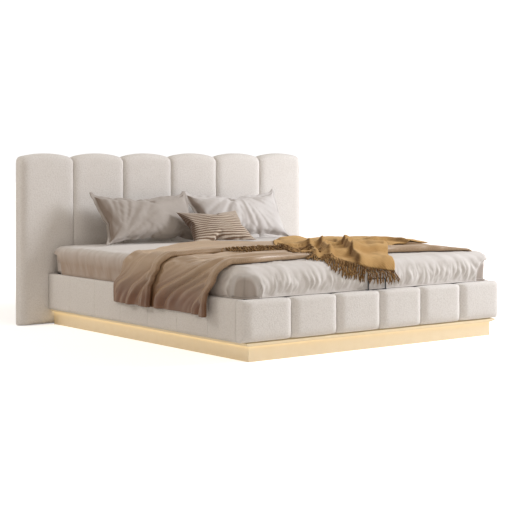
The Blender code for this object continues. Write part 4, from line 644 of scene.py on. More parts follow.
def rail_padding(side, hand):
    """The padded cover of a side rail, with its stitched upright seams and the pull of the cloth at each."""
    board_face, board_top = RAIL_BOARD + SEAT_GAP, FRAME_TOP - 0.0117
    start, end = FOOT_Y + FOOTBOARD_DEPTH + SEAT_GAP, HEAD_Y - SEAT_GAP
    shoulder, lip = 0.011, 0.004
    seams = [FOOT_Y + RAIL_FIRST_SEAM + RAIL_SEAM_PITCH * k for k in range(6)]
    stations = set(np.linspace(start, end, 90))
    for seam in seams:
        stations.update(seam + step for step in (-0.008, -0.004, -0.0015, 0.0, 0.0015, 0.004, 0.008))
    points = []
    rows = sorted(stations)
    for y in rows:
        pull = sum(math.exp(-((y - seam) / 0.0022) ** 2) for seam in seams)
        wide = sum(math.exp(-((y - seam) / 0.030) ** 2) for seam in seams)
        outline = [(board_face, FRAME_BOTTOM)]
        for level in range(11):
            z = FRAME_BOTTOM + (FRAME_TOP - shoulder - FRAME_BOTTOM) * level / 11
            pucker = crease(y * 3, z * 30, side) * 0.0012 * wide
            soft = 0.0010 * wander(y * 5, z * 6, side)
            tuck = 0.004 * math.exp(-((z - FRAME_BOTTOM) / 0.010) ** 2)
            outline.append((FRAME_HALF - 0.0012 - pull * 0.0030 - pucker - tuck + soft, z))
        sink = pull * 0.0025
        outline += arc((FRAME_HALF - 0.0122 - sink, FRAME_TOP - shoulder - sink), shoulder, 0, 90, 5)
        outline += arc((RAIL_INNER + lip, FRAME_TOP - lip - sink), lip, 90, 180, 3)
        outline += [(RAIL_INNER, board_top), (board_face, board_top)]
        count = len(outline)
        points += [(side * x, y, z) for x, z in outline]
    item = make_piece(f"side_rail_padding_{hand}", points, loft_faces(len(rows), count), BOUCLE,
                      "bed_frame")
    facing_out(item)
    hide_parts(f"side_rail_pad_{hand}")


rail_padding(-1, "left")
rail_padding(1, "right")


# Mattress in its fitted sheet


def mattress_top(x, y):
    """Height of the crowned top at a place."""
    across = min(abs(x) / MATTRESS_HALF, 1.0)
    along = min(abs(y - MIDDLE_Y) / HALF_LENGTH, 1.0)
    return MATTRESS_EDGE_TOP + MATTRESS_CROWN * (1 - max(across, along) ** 2)


def outline_ring(grow, scale):
    """Points round the mattress footprint, grown or scaled, closest together along the foot end."""
    half_x = (MATTRESS_HALF + grow) * scale
    half_y = (HALF_LENGTH + grow) * scale
    corner = (MATTRESS_CORNER + grow) * scale
    bend_steps = 20
    side_steps = [110, 240, 280, 240]
    corners = []
    for quarter, (sx, sy) in enumerate(((1, 1), (-1, 1), (-1, -1), (1, -1))):
        centre = (sx * (half_x - corner), MIDDLE_Y + sy * (half_y - corner))
        corners.append(arc(centre, corner, 90 * quarter, 90 * quarter + 90, bend_steps))
    points = []
    for quarter, bend in enumerate(corners):
        points += bend
        start, end = bend[-1], corners[(quarter + 1) % 4][0]
        steps = side_steps[quarter]
        for step in range(1, steps):
            part = step / steps
            points.append((start[0] + (end[0] - start[0]) * part, start[1] + (end[1] - start[1]) * part))
    return points


def rounded_folds(across, along, seed, sharpness):
    """Folds with rounded crests and narrow valleys, from 0 in a valley."""
    value = wander(across, along, seed) * 2.3
    return math.sqrt(value ** 2 + sharpness) - math.sqrt(sharpness)


def sheet_wrinkle(x, y, z, height_share):
    """How far the fitted sheet stands out from the mattress, from its gathers and creases."""
    to_foot = y - (MATTRESS_FOOT_Y - MATTRESS_BULGE)
    to_left = x + MATTRESS_HALF + MATTRESS_BULGE
    to_right = MATTRESS_HALF + MATTRESS_BULGE - x
    drop = MATTRESS_EDGE_TOP - z
    total = 0.0
    # Gathers that hang from the foot end
    near_foot = 1 - smooth_step(0.05, 0.42, to_foot)
    if near_foot > 0:
        curve = 0.85 * to_foot - 0.45 * drop + 7.0 * max(drop - 0.08, 0.0) ** 2
        warp = 0.018 * wander(x * 9, drop * 6 - to_foot * 5, 4.0)
        run = x + curve + warp
        down = drop * 5.0 + to_foot * 3.2
        low = smooth_step(0.04, 0.11, drop)
        gather = rounded_folds(run * 10, down * 1.2, 1.0, 0.03) * (0.0045 + 0.0020 * low)
        gather += rounded_folds(run * 25, down * 2.2, 5.0, 0.02) * (0.0020 + 0.0055 * low)
        gather += rounded_folds(run * 55, down * 2.6, 8.0, 0.015) * (0.0006 + 0.0044 * low)
        puff = 0.006 * smooth_step(0.0, 0.05, drop) * (1 - smooth_step(0.10, 0.16, drop))
        total += (gather - 0.0055 + puff) * near_foot
    # Slanting creases along both sides
    for to_side, seed in ((to_left, 2.0), (to_right, 7.0)):
        near_side = (1 - smooth_step(0.02, 0.30, to_side)) * (1 - near_foot)
        if near_side > 0:
            bow = 0.30 * to_side - 0.45 * drop + 0.8 * max(drop - 0.05, 0.0)
            run = y + bow + 0.012 * wander(y * 6, drop * 6, seed)
            down = drop * 4.0 + to_side * 2.0
            total += (rounded_folds(run * 14, down, seed, 0.02) * 0.0065
                      + rounded_folds(run * 38, down * 1.6, seed + 1, 0.012) * 0.0050 - 0.0045) * near_side
    # Faint folds across the top
    inner = smooth_step(0.12, 0.35, min(to_left, to_right)) * (1 - near_foot)
    if inner > 0:
        total += inner * 0.003 * rounded_folds(x * 1.6, (y + 0.25 * x) * 10, 9.0, 0.03)
    total *= smooth_step(0.0, 0.15, height_share)
    # The flat arched gusset of each corner, with a seam up its middle
    corner_x = MATTRESS_HALF + MATTRESS_BULGE - abs(x)
    corner_y = min(to_foot, MATTRESS_HEAD_Y + MATTRESS_BULGE - y)
    round_corner = math.hypot(max(corner_x, 0.0), max(corner_y, 0.0))
    rise = (z - MATTRESS_BOTTOM) / GUSSET_TALL
    if rise < 1.25 and round_corner < 0.16:
        arch = math.hypot(max(corner_x + corner_y - GUSSET_START, 0.0) / GUSSET_WIDE, rise)
        flat = 1 - smooth_step(0.92, 1.04, arch)
        total = total * (1 - flat) - 0.0095 * flat + 0.007 * (1 - flat) * (1 - smooth_step(1.04, 1.4, arch))
        turn = math.atan2(max(abs(y - MIDDLE_Y) - HALF_LENGTH + MATTRESS_CORNER, 1e-6),
                          max(abs(x) - MATTRESS_HALF + MATTRESS_CORNER, 1e-6))
        total -= 0.0045 * flat * math.exp(-((turn - math.pi / 4) / 0.045) ** 2)
    return total


def clear_of_rails(x, y, z):
    """X of a point of the mattress. Its lower head corners are drawn in, because they dip between the
    rails when the bed is open."""
    share = smooth_step(0.865, 0.915, y) * (1 - smooth_step(0.380, 0.420, z))
    return math.copysign(abs(x) - max(abs(x) - RAIL_CLEAR, 0.0) * share, x)


def build_mattress():
    """The mattress with a washed cotton sheet pulled over it, gathered at the foot and creased at the
    sides."""
    side_height = MATTRESS_EDGE_TOP - MATTRESS_BOTTOM
    straight = side_height - MATTRESS_ROLL
    levels = [(-0.06, MATTRESS_BOTTOM, scale, 0.0) for scale in (0.02, 0.25, 0.5, 0.75, 1.0)]
    levels.append((0.010, MATTRESS_BOTTOM, 1.0, 0.0))
    below = len(levels)
    for step in range(21):
        share = step / 20
        grow = MATTRESS_LOW_BULGE + (MATTRESS_BULGE - MATTRESS_LOW_BULGE) * math.sin(share * math.pi / 2)
        levels.append((grow, MATTRESS_BOTTOM + 0.002 + (straight - 0.002) * share, 1.0, share))
    for step in range(1, 9):
        angle = math.pi / 2 * step / 8
        levels.append((MATTRESS_BULGE - MATTRESS_ROLL * (1 - math.cos(angle)),
                       MATTRESS_BOTTOM + straight + MATTRESS_ROLL * math.sin(angle), 1.0, 1.0))
    for step in range(1, 46):
        scale = 1 - step / 46
        levels.append((MATTRESS_BULGE - MATTRESS_ROLL, None, scale, 1.0))
    rings = []
    for grow, height, scale, share in levels:
        ring = outline_ring(grow, scale)
        if height is None:
            height = MATTRESS_EDGE_TOP + MATTRESS_CROWN * (1 - scale ** 2)
        rings.append(np.array([(x, y, height) for x, y in ring]))
    grid = np.array(rings)
    rows, columns = grid.shape[:2]
    ahead = np.roll(grid, -1, axis=1) - np.roll(grid, 1, axis=1)
    up = np.gradient(grid, axis=0)
    normal = np.cross(ahead, up)
    normal /= np.maximum(np.linalg.norm(normal, axis=2, keepdims=True), 1e-9)
    for row in range(below, rows):
        for column in range(columns):
            x, y, z = grid[row, column]
            amount = sheet_wrinkle(x, y, z, levels[row][3])
            grid[row, column] += normal[row, column] * amount
    points = grid.reshape(-1, 3)
    points[:, 0] = [clear_of_rails(*point) for point in points]
    item = make_piece("mattress_with_sheet", points, loft_faces(rows, columns), SHEET, "platform")
    facing_out(item)
    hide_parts("mattress")
    return item


MATTRESS = build_mattress()


def build_piping():
    """The corded lower edge of the mattress, which closes the line between it and the frame."""
    ring = np.array(outline_ring(MATTRESS_LOW_BULGE, 1.0))
    ahead = np.roll(ring, -1, axis=0) - np.roll(ring, 1, axis=0)
    ahead /= np.linalg.norm(ahead, axis=1, keepdims=True)
    out = np.stack([ahead[:, 1], -ahead[:, 0]], axis=1)
    radius, corners = 0.0036, 8
    points, faces = [], []
    for place, side in zip(ring, out):
        for corner in range(corners):
            angle = math.tau * corner / corners
            spot = place + side * radius * math.cos(angle)
            height = FRAME_TOP + 0.0046 + radius * math.sin(angle)
            points.append((clear_of_rails(spot[0], spot[1], height), spot[1], height))
    count = len(ring)
    for index in range(count):
        after = (index + 1) % count
        for corner in range(corners):
            other = (corner + 1) % corners
            faces.append((index * corners + corner, after * corners + corner, after * corners + other,
                          index * corners + other))
    facing_out(make_piece("mattress_piping", points, faces, SHEET, "platform"))


build_piping()


# Route of the cloth over the left side: up the hang, round the shoulder and over the top

HANG_REACH = FRAME_HALF + 0.004
SHOULDER_X = MATTRESS_HALF + MATTRESS_BULGE - MATTRESS_ROLL
SHOULDER_WIDE = HANG_REACH - SHOULDER_X
SHOULDER_TALL = MATTRESS_ROLL + 0.003
BLANKET_HEM = 0.218
HANG_DROP = SHOULDER_Z - BLANKET_HEM
BEND_END = HANG_DROP + math.pi / 2 * math.sqrt((SHOULDER_WIDE ** 2 + SHOULDER_TALL ** 2) / 2)
BLANKET_END_X = 0.868
BLANKET_WAY = BEND_END + SHOULDER_X + BLANKET_END_X


def side_route(way, y):
    """Place on the blanket's route at a way from its hem line, and the direction outwards."""
    if way < HANG_DROP:
        return np.array((-HANG_REACH, y, BLANKET_HEM + way)), np.array((-1.0, 0.0, 0.0))
    if way < BEND_END:
        angle = math.pi / 2 * (way - HANG_DROP) / (BEND_END - HANG_DROP)
        place = np.array((-SHOULDER_X - SHOULDER_WIDE * math.cos(angle), y,
                          SHOULDER_Z + SHOULDER_TALL * math.sin(angle)))
        out = np.array((-SHOULDER_TALL * math.cos(angle), 0.0, SHOULDER_WIDE * math.sin(angle)))
        return place, out / np.linalg.norm(out)
    x = -SHOULDER_X + way - BEND_END
    lift = 0.003 * smooth_step(0.0, 0.10, way - BEND_END)
    fall = 0.020 * smooth_step(0.0, 0.06, x - 0.82) ** 2
    return np.array((x, y, mattress_top(x, y) + lift - fall)), np.array((0.0, 0.0, 1.0))


def between(table, place):
    """Value between the entries of a short table of place and value, with smooth bends."""
    for (low, first), (high, second) in zip(table, table[1:]):
        if place <= high:
            part = max((place - low) / (high - low), 0.0)
            return first + (second - first) * part * part * (3 - 2 * part)
    return table[-1][1]


# Edges of the blanket's bands, as way from the hem and Y
BLANKET_HEAD = ((0.0, 0.185), (0.10, 0.185), (0.19, 0.10), (0.30, 0.055), (0.42, 0.075), (0.66, 0.235),
                (1.00, 0.30), (1.45, 0.16), (2.1, -0.20))
BLANKET_MID = ((0.0, -0.215), (0.11, -0.228), (0.17, -0.268), (0.23, -0.318), (0.29, -0.358),
               (0.37, -0.385), (0.525, -0.405), (0.705, -0.455), (0.83, -0.485), (1.05, -0.505),
               (1.45, -0.51), (1.785, -0.515), (2.02, -0.655), (2.1, -0.69))
BLANKET_FOOT = ((0.0, -0.800), (0.11, -0.800), (0.20, -0.850), (0.30, -0.915), (0.42, -0.950),
                (0.70, -0.905), (1.05, -0.880), (1.515, -0.850), (1.755, -0.885), (1.86, -0.915),
                (2.1, -0.960))


def sheet_folds(slant, run, seed):
    """Long folds across a band of cloth: slant counts folds and run goes along them."""
    warp = 0.45 * wander(slant * 0.7, run * 2.0, seed + 20)
    broad = wander((slant + warp) * 1.15, run * 1.1, seed) * 2.3
    fine = wander((slant + warp) * 2.6, run * 1.9, seed + 5) * 2.3
    swell = math.sqrt(broad ** 2 + 0.035) - 0.187
    ripple = math.sqrt(fine ** 2 + 0.05) - 0.224
    return min(0.95 * swell + 0.22 * ripple, 1.0)


def blanket_profile(way):
    """The edges of the blanket's bands at one way from its hem, and places across it as Y, height over
    the route, share of the folds and layer, where layer 2 is the upper band."""
    head = between(BLANKET_HEAD, way) + 0.006 * wander(way * 7, 1.0)
    mid = between(BLANKET_MID, way) + 0.008 * wander(way * 6, 2.0)
    foot = between(BLANKET_FOOT, way) + 0.006 * wander(way * 6, 3.0)
    thin = 1 - 0.8 * smooth_step(BLANKET_WAY - 0.24, BLANKET_WAY, way)
    roll = 0.0150 * (1 + 0.20 * wander(way * 5, 7.0)) * thin
    edge = 0.0150 * (1 + 0.25 * wander(way * 5, 9.0)) * thin
    turn = 0.0035
    line = []
    # The upper band's head edge, turned under
    for step in range(8):
        line.append((head - 0.07 + (0.07 - turn) * step / 8, 0.0020, 0.0, 2))
    for step in range(7):
        angle = math.pi * (step / 6 - 0.5)
        line.append((head - turn + turn * math.cos(angle), 0.0055 + turn * math.sin(angle), 0.0, 2))
    # The upper band and its rolled fold
    start, end = head - turn, mid + roll
    low, high = 0.009, 0.006 + 2 * roll
    for step in range(1, 64):
        part = step / 64
        rise = low + (0.013 - low) * smooth_step(0.0, 0.3, part)
        rise += (high - 0.013) * smooth_step(0.86, 1.0, part)
        fold = smooth_step(0.0, 0.10, part) * (1 - smooth_step(0.90, 1.0, part)) * thin
        line.append((start + (end - start) * part, rise, fold, 2))
    for step in range(13):
        angle = math.pi / 2 + math.pi * step / 12
        size = roll + 0.0018 * math.sin(math.pi * 4 * step / 12)
        line.append((end + size * math.cos(angle), 0.006 + roll + size * math.sin(angle), 0.0, 2))
    # Back under the fold, and on into the lower band
    for step in range(1, 9):
        line.append((end + 0.07 * step / 8, 0.0060, 0.0, 2))
    for step in range(5):
        angle = math.pi * (0.5 - step / 4)
        line.append((end + 0.07 + 0.001 * math.cos(angle), 0.0045 + 0.001 * math.sin(angle), 0.0, 1))
    # The lower band and its rolled foot edge
    start, end = mid + roll + 0.07, foot + edge
    for step in range(1, 90):
        part = step / 90
        y = start + (end - start) * part
        rise = 0.0035 + (0.0015 + 2 * edge - 0.0035) * smooth_step(0.88, 1.0, part)
        seen = smooth_step(0.0, 0.05, mid - 0.012 - y)
        fold = seen * (1 - smooth_step(0.92, 1.0, part)) * thin
        line.append((y, rise, fold, 1))
    for step in range(11):
        angle = math.pi / 2 + math.pi * step / 10
        size = edge + 0.0010 * math.sin(math.pi * 3 * step / 10)
        line.append((end + size * math.cos(angle), 0.0015 + edge + size * math.sin(angle), 0.0, 1))
    for step in range(1, 8):
        line.append((end + 0.05 * step / 7, 0.0015, 0.0, 1))
    return head, mid, foot, line


def build_blanket():
    """A taupe sateen blanket laid in a Z over the bed, so that its upper band ends in a rolled fold on
    its lower one, with long folds fanning from the top right to its hem at the left."""
    stations = list(np.linspace(0.0, HANG_DROP, 40)[:-1])
    stations += list(np.linspace(HANG_DROP, BEND_END, 22)[:-1])
    stations += list(np.linspace(BEND_END, BLANKET_WAY, 130))
    grid = []
    flat = []
    for way in stations:
        head, mid, foot, line = blanket_profile(way)
        row = []
        flat_row = []
        length = 0.0
        before = None
        low = smooth_step(0.0, 1.0, way / BEND_END)
        for y, rise, fold, layer in line:
            place, out = side_route(way, y)
            if layer == 2:
                part = (head - y) / max(head - mid, 1e-6)
                slant = 2.7 * part - 2.0 * low + 0.25 * way
                depth = 0.019
            else:
                part = (mid - y) / max(mid - foot, 1e-6)
                slant = 4.0 * part - 3.1 * low + 0.3 * way
                depth = 0.024
            folds = sheet_folds(slant, way * 1.6, 3.0 * layer) * depth * fold
            loose = 1 + 0.35 * (1 - smooth_step(0.0, HANG_DROP, way))
            dip = 0.006 * wander(y * 4, way * 2, layer) * (1 - smooth_step(0.0, 0.1, way))
            stand = 0.030 * math.exp(-((y - foot) / 0.06) ** 2) * (1 - smooth_step(0.05, 0.24, way))
            point = place + out * (rise + folds * loose + stand)
            point[2] += dip
            row.append(point)
            if before is not None:
                length += math.hypot(y - before[0], rise - before[1])
            before = (y, rise)
            flat_row.append((way, length))
        grid.append(row)
        flat.append(flat_row)
    grid = np.array(grid)
    item = make_piece("blanket_cloth", grid.reshape(-1, 3), cloth_faces(*grid.shape[:2]), SATEEN, "platform",
                      uvs=np.array(flat).reshape(-1, 2))
    give_thickness(item, 0.0024)
    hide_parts("blanket")
    return item


BLANKET = build_blanket()


# Throw

THROW_FACE_Y = MATTRESS_FOOT_Y - MATTRESS_BULGE - 0.0015
THROW_RADIUS = MATTRESS_ROLL + 0.0015
THROW_TOP_START = THROW_FACE_Y + THROW_RADIUS

# The throw's four edges in plan, as X and Y, where Y runs on down the foot face past the shoulder
THROW_FRINGED = ((0.139, -1.099), (0.059, -1.090), (-0.052, -1.071), (-0.160, -1.053), (-0.235, -1.030),
                 (-0.300, -1.000), (-0.335, -0.930), (-0.320, -0.830), (-0.270, -0.730), (-0.205, -0.630),
                 (-0.170, -0.560), (-0.190, -0.510), (-0.235, -0.480))
THROW_FAR = ((0.845, -0.600), (0.875, -0.470), (0.870, -0.300), (0.800, -0.110), (0.660, 0.035),
             (0.460, 0.110), (0.230, 0.090))
THROW_RIGHT = ((0.139, -1.099), (0.146, -1.030), (0.170, -0.970), (0.225, -0.900), (0.300, -0.820),
               (0.395, -0.715), (0.485, -0.625), (0.570, -0.580), (0.690, -0.590), (0.845, -0.600))
THROW_LEFT = ((-0.235, -0.480), (-0.195, -0.390), (-0.120, -0.270), (0.000, -0.110), (0.110, 0.020),
              (0.230, 0.090))
THROW_UPPER_HEM = ((-0.160, -1.046), (-0.245, -1.010), (-0.262, -0.930), (-0.225, -0.820), (-0.165, -0.700),
                   (-0.110, -0.590), (-0.125, -0.525), (-0.190, -0.505), (-0.262, -0.488))
THROW_TUCKED_HEM = ((-0.275, -0.500), (-0.400, -0.478), (-0.510, -0.453), (-0.600, -0.432))

# The mattress stop's hoop, which the tassels hang in front of
STOP_TOP = 0.425
STOP_STAND = 0.027


def along_line(line, count):
    """Points spread evenly along a smoothed line."""
    line = np.array(line, float)
    for _ in range(3):
        finer = [line[0]]
        for first, second in zip(line, line[1:]):
            finer += [first * 0.75 + second * 0.25, first * 0.25 + second * 0.75]
        finer.append(line[-1])
        line = np.array(finer)
    steps = np.concatenate([[0.0], np.cumsum(np.linalg.norm(np.diff(line, axis=0), axis=1))])
    wanted = np.linspace(0.0, steps[-1], count)
    return np.stack([np.interp(wanted, steps, line[:, axis]) for axis in range(line.shape[1])], axis=1)


def foot_route(x, run):
    """Place on the route over the foot end and the direction outwards: run is Y on the top and goes on
    down the face."""
    if run > THROW_TOP_START:
        return np.array((x, run, mattress_top(x, run))), np.array((0.0, 0.0, 1.0))
    down = THROW_TOP_START - run
    if down < THROW_RADIUS * math.pi / 2:
        angle = down / THROW_RADIUS
        out = np.array((0.0, -math.sin(angle), math.cos(angle)))
        return np.array((x, THROW_TOP_START, SHOULDER_Z)) + out * THROW_RADIUS, out
    return (np.array((x, THROW_FACE_Y, SHOULDER_Z - down + THROW_RADIUS * math.pi / 2)),
            np.array((0.0, -1.0, 0.0)))


def surface_under():
    """The mattress and the blanket as one surface that rays can find."""
    points, faces = [], []
    for item in (MATTRESS, BLANKET):
        start = len(points)
        points += [vertex.co.copy() for vertex in item.data.vertices]
        faces += [tuple(start + index for index in face.vertices) for face in item.data.polygons]
    return BVHTree.FromPolygons(points, faces)


BED_SURFACE = surface_under()


def rest_height(x, run):
    """Height over the foot route at which something lies on the bed."""
    place, out = foot_route(x, run)
    start = Vector(place + out * 0.2)
    hit = BED_SURFACE.ray_cast(start, Vector(-out))
    if hit[0] is None:
        return 0.0
    return max(0.2 - hit[3], -0.004)


def ridge(value, middle, before, after):
    """A rounded ridge across a place, with its own width on each side."""
    width = before if value < middle else after
    return 1.0 / (1.0 + ((value - middle) / width) ** 2) ** 1.6


def throw_height(x, run):
    """How high the throw's folds stand over what it lies on: long ridges over the near part, a bunch where
    it gathers, and a loose far part."""
    across = 0.82 * x - 0.57 * run + 0.012 * wander(x * 5, run * 5, 1.0)
    along = 0.57 * x + 0.82 * run + 0.012 * wander(x * 5, run * 5, 4.0)
    near = 1 - smooth_step(-0.30, -0.16, along)
    hang = 0.45 + 0.55 * smooth_step(-1.0, -0.6, along)
    folds = 0.050 * ridge(across, 0.345, 0.026, 0.014) + 0.028 * ridge(across, 0.262, 0.022, 0.014)
    folds += 0.062 * ridge(across, 0.487, 0.013, 0.060)
    folds += 0.008 * ridge(across, 0.66, 0.05, 0.05)
    height = near * hang * folds
    height += 0.040 * ridge(along, -0.285, 0.070, 0.012) * smooth_step(0.50, 0.58, across) * (
        1 - smooth_step(0.72, 0.80, across))
    knot = math.exp(-((across - 0.41) / 0.085) ** 2 - ((along + 0.19) / 0.13) ** 2)
    height += knot * (0.018 * ridge(across, 0.375, 0.014, 0.020) + 0.018 * ridge(across, 0.455, 0.016, 0.020)
                      - 0.004)
    lobe = math.exp(-((across - 0.19) / 0.085) ** 2) * smooth_step(-0.42, -0.33, along)
    height += 0.022 * lobe * (1 - 0.85 * ridge(along, -0.345, 0.014, 0.020))
    height += 0.016 * math.exp(-((across - 0.20) / 0.06) ** 2 - ((along + 0.42) / 0.030) ** 2)
    far = smooth_step(-0.205, -0.115, along) * (1 - smooth_step(0.22, 0.42, along))
    height += far * smooth_step(0.26, 0.44, across) * (0.026 + 0.010 * wander(x * 7, run * 4, 2.0))
    long_fold = abs(wander(across * 11, along * 2.5, 6.0)) * 2
    height += 0.006 * long_fold + 0.0015 * wander(x * 30, run * 30, 8.0)
    most = 0.055 - 0.027 * smooth_step(-0.28, -0.16, along)
    return 0.0030 + most * math.tanh(height / most)


def build_throw():
    """A mustard wool throw dropped slanting over the blanket and the foot end, in deep loose folds."""
    columns, rows = 120, 130
    fringed, far = along_line(THROW_FRINGED, columns), along_line(THROW_FAR, columns)
    right, left = along_line(THROW_RIGHT, rows), along_line(THROW_LEFT, rows)
    plan = np.zeros((rows, columns, 2))
    for row in range(rows):
        a = row / (rows - 1)
        for column in range(columns):
            b = column / (columns - 1)
            ruled_one = fringed[column] * (1 - a) + far[column] * a
            ruled_two = right[row] * (1 - b) + left[row] * b
            corners = (fringed[0] * (1 - a) * (1 - b) + fringed[-1] * (1 - a) * b
                       + far[0] * a * (1 - b) + far[-1] * a * b)
            plan[row, column] = ruled_one + ruled_two - corners
    under = np.array([[rest_height(*spot) for spot in line] for line in plan])
    soft = under.copy()
    for _ in range(6):
        padded = np.pad(soft, 1, mode="edge")
        soft = (padded[:-2, 1:-1] + padded[2:, 1:-1] + padded[1:-1, :-2] + padded[1:-1, 2:]) / 4
        soft = np.maximum(soft, under)
    points = []
    for row in range(rows):
        for column in range(columns):
            x, run = plan[row, column]
            place, out = foot_route(x, run)
            edge = min(row, rows - 1 - row, column, columns - 1 - column) / 5
            settle = 0.55 + 0.45 * min(edge, 1.0)
            height = soft[row, column] + 0.002 + (throw_height(x, run) - 0.002) * settle
            points.append(place + out * height)
    item = make_piece("throw_cloth", points, cloth_faces(rows, columns), WOOL, "platform",
                      uvs=plan.reshape(-1, 2))
    give_thickness(item, 0.0030)
    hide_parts("throw")
    return item, np.array(points).reshape(rows, columns, 3), plan


def turned(heading, angle):
    """A heading in plan, turned to the left by an angle."""
    return np.array((heading[0] * math.cos(angle) - heading[1] * math.sin(angle),
                     heading[0] * math.sin(angle) + heading[1] * math.cos(angle)))


def outward_at(line, index):
    """The direction in plan that points away from the cloth at one point of its edge."""
    ahead = line[min(index + 2, len(line) - 1)] - line[max(index - 2, 0)]
    ahead = ahead / max(np.linalg.norm(ahead), 1e-9)
    return np.array((-ahead[1], ahead[0]))


def tassel_points(path, radius, turns, start_turn):
    """A two-ply twisted tassel round a path, with frayed ends."""
    path = np.array(path)
    heading = np.gradient(path, axis=0)
    heading /= np.linalg.norm(heading, axis=1, keepdims=True)
    points = []
    for index, (centre, ahead) in enumerate(zip(path, heading)):
        share = index / (len(path) - 1)
        side = np.cross(ahead, (0.0, 0.0, 1.0))
        if np.linalg.norm(side) < 0.2:
            side = np.cross(ahead, (0.0, 1.0, 0.0))
        side /= np.linalg.norm(side)
        other = np.cross(ahead, side)
        size = radius * (0.9 + 0.15 * math.sin(math.pi * share))
        size *= 1 - 0.45 * smooth_step(0.88, 1.0, share)
        for corner in range(6):
            angle = math.tau * corner / 6
            wide = 1.0 if corner in (0, 3) else 0.72
            twist = angle + start_turn + math.tau * turns * share
            points.append(centre + size * wide * (side * math.cos(twist) + other * math.sin(twist)))
    return points


def build_fringe(cloth_points, plan):
    """Twisted tassels of 65 to 105 mm along the throw's edges, which hang or lie as their place lets
    them."""
    edge_plan = plan[0]
    edge_points = cloth_points[0]
    steps = np.concatenate([[0.0], np.cumsum(np.linalg.norm(np.diff(edge_points, axis=0), axis=1))])
    points, faces = [], []
    random = np.random.default_rng(7)

    def add_tassel(root, plan_place, heading, length, height):
        bend = random.normal(0.0, 0.16)
        spin = random.uniform(0, math.tau)
        pieces = 9
        path = [root]
        here = np.array(plan_place, float)
        for step in range(1, pieces + 1):
            share = step / pieces
            heading = turned(heading, bend * 0.35 / pieces * 6)
            here = here + heading * length / pieces
            place, out = foot_route(here[0], here[1])
            low = rest_height(here[0], here[1]) + 0.003
            if place[2] < STOP_TOP:
                low = max(low, STOP_STAND * (1 - smooth_step(0.080, 0.115, abs(here[0]))))
            sway = 0.003 * math.sin(spin + share * 5)
            level = low + max(height - low, 0.0) * (1 - share) ** 1.5
            level += 0.002 * (1 + math.sin(spin + share * 7))
            side = np.array((heading[1], -heading[0]))
            point = place + out * level
            point[0] += side[0] * sway
            if here[1] > THROW_TOP_START:
                point[1] += side[1] * sway
            path.append(point)
        start = len(points)
        ring = tassel_points(path, 0.0029 * random.uniform(0.85, 1.2), 2.2, spin)
        points.extend(ring)
        faces.extend([tuple(start + index for index in face) for face in loft_faces(len(path), 6)])

    # Along the open edge that hangs over the foot end
    spacing = 0.0050
    count = int(steps[-1] / spacing)
    for number in range(count):
        length_at = (number + 0.5) * spacing + random.normal(0, 0.001)
        index = int(np.clip(np.searchsorted(steps, length_at), 1, len(steps) - 1))
        part = (length_at - steps[index - 1]) / max(steps[index] - steps[index - 1], 1e-9)
        part = min(max(part, 0.0), 1.0)
        root = edge_points[index - 1] * (1 - part) + edge_points[index] * part
        spot = edge_plan[index - 1] * (1 - part) + edge_plan[index] * part
        out = outward_at(edge_plan, index)
        down = smooth_step(-0.80, -1.02, spot[1]) if spot[1] < -0.80 else 0.0
        lean = -0.10 + 0.95 * smooth_step(-0.03, 0.135, spot[0])
        out = out * (1 - 0.75 * down) + np.array((lean, -1.0)) * (0.75 * down + 0.25)
        out = turned(out, random.normal(0.0, 0.14))
        out /= np.linalg.norm(out)
        base, normal = foot_route(spot[0], spot[1])
        height = float(np.dot(root - base, normal))
        add_tassel(root, spot, out, random.uniform(0.070, 0.096), height)
    # From the hem that lies on top, a little way in
    upper = along_line(THROW_UPPER_HEM, 150)
    for index, spot in enumerate(upper):
        base, normal = foot_route(spot[0], spot[1])
        height = rest_height(spot[0], spot[1]) + throw_height(spot[0], spot[1]) + 0.006
        out = outward_at(upper, index) + np.array((-0.2, -0.5)) + random.normal(0.0, 0.22, 2)
        out /= np.linalg.norm(out)
        add_tassel(base + normal * height, spot, out, random.uniform(0.065, 0.095), height + 0.004)
    # From the hem that is tucked under the blanket's fold
    for spot in along_line(THROW_TUCKED_HEM, 84):
        base, normal = foot_route(spot[0], spot[1] + 0.012)
        height = rest_height(spot[0], spot[1] + 0.014)
        height = min(height, rest_height(spot[0], spot[1] - 0.03) + 0.022)
        out = np.array((0.1 + random.normal(0.0, 0.45), -1.0))
        out /= np.linalg.norm(out)
        add_tassel(base + normal * height, (spot[0], spot[1] + 0.012), out, random.uniform(0.075, 0.105),
                   height + 0.010)
    item = make_piece("throw_fringe", points, faces, FRINGE_WOOL_PAINTED_SHADE, "platform")
    facing_out(item)
    return item


THROW, throw_points, throw_plan = build_throw()
FRINGE = build_fringe(throw_points, throw_plan)


# Sprung slats

def slat_underside(share):
    """Height of a bowed slat's underside, from 0 at its middle to 1 at its ends."""
    return MATTRESS_BOTTOM - SEAT_GAP - SLAT_THICK - SLAT_BOW * share ** 2


def add_block(points, faces, loops):
    """Adds a solid through four-sided loops to a piece's points and faces."""
    start = len(points)
    points += [corner for loop in loops for corner in loop]
    faces += [tuple(start + index for index in face) for face in loft_faces(len(loops), 4)]


def section(x, y, half, low, high):
    """The four corners of a board's section at one place along it."""
    return [(x, y - half, low), (x, y + half, low), (x, y + half, high), (x, y - half, high)]


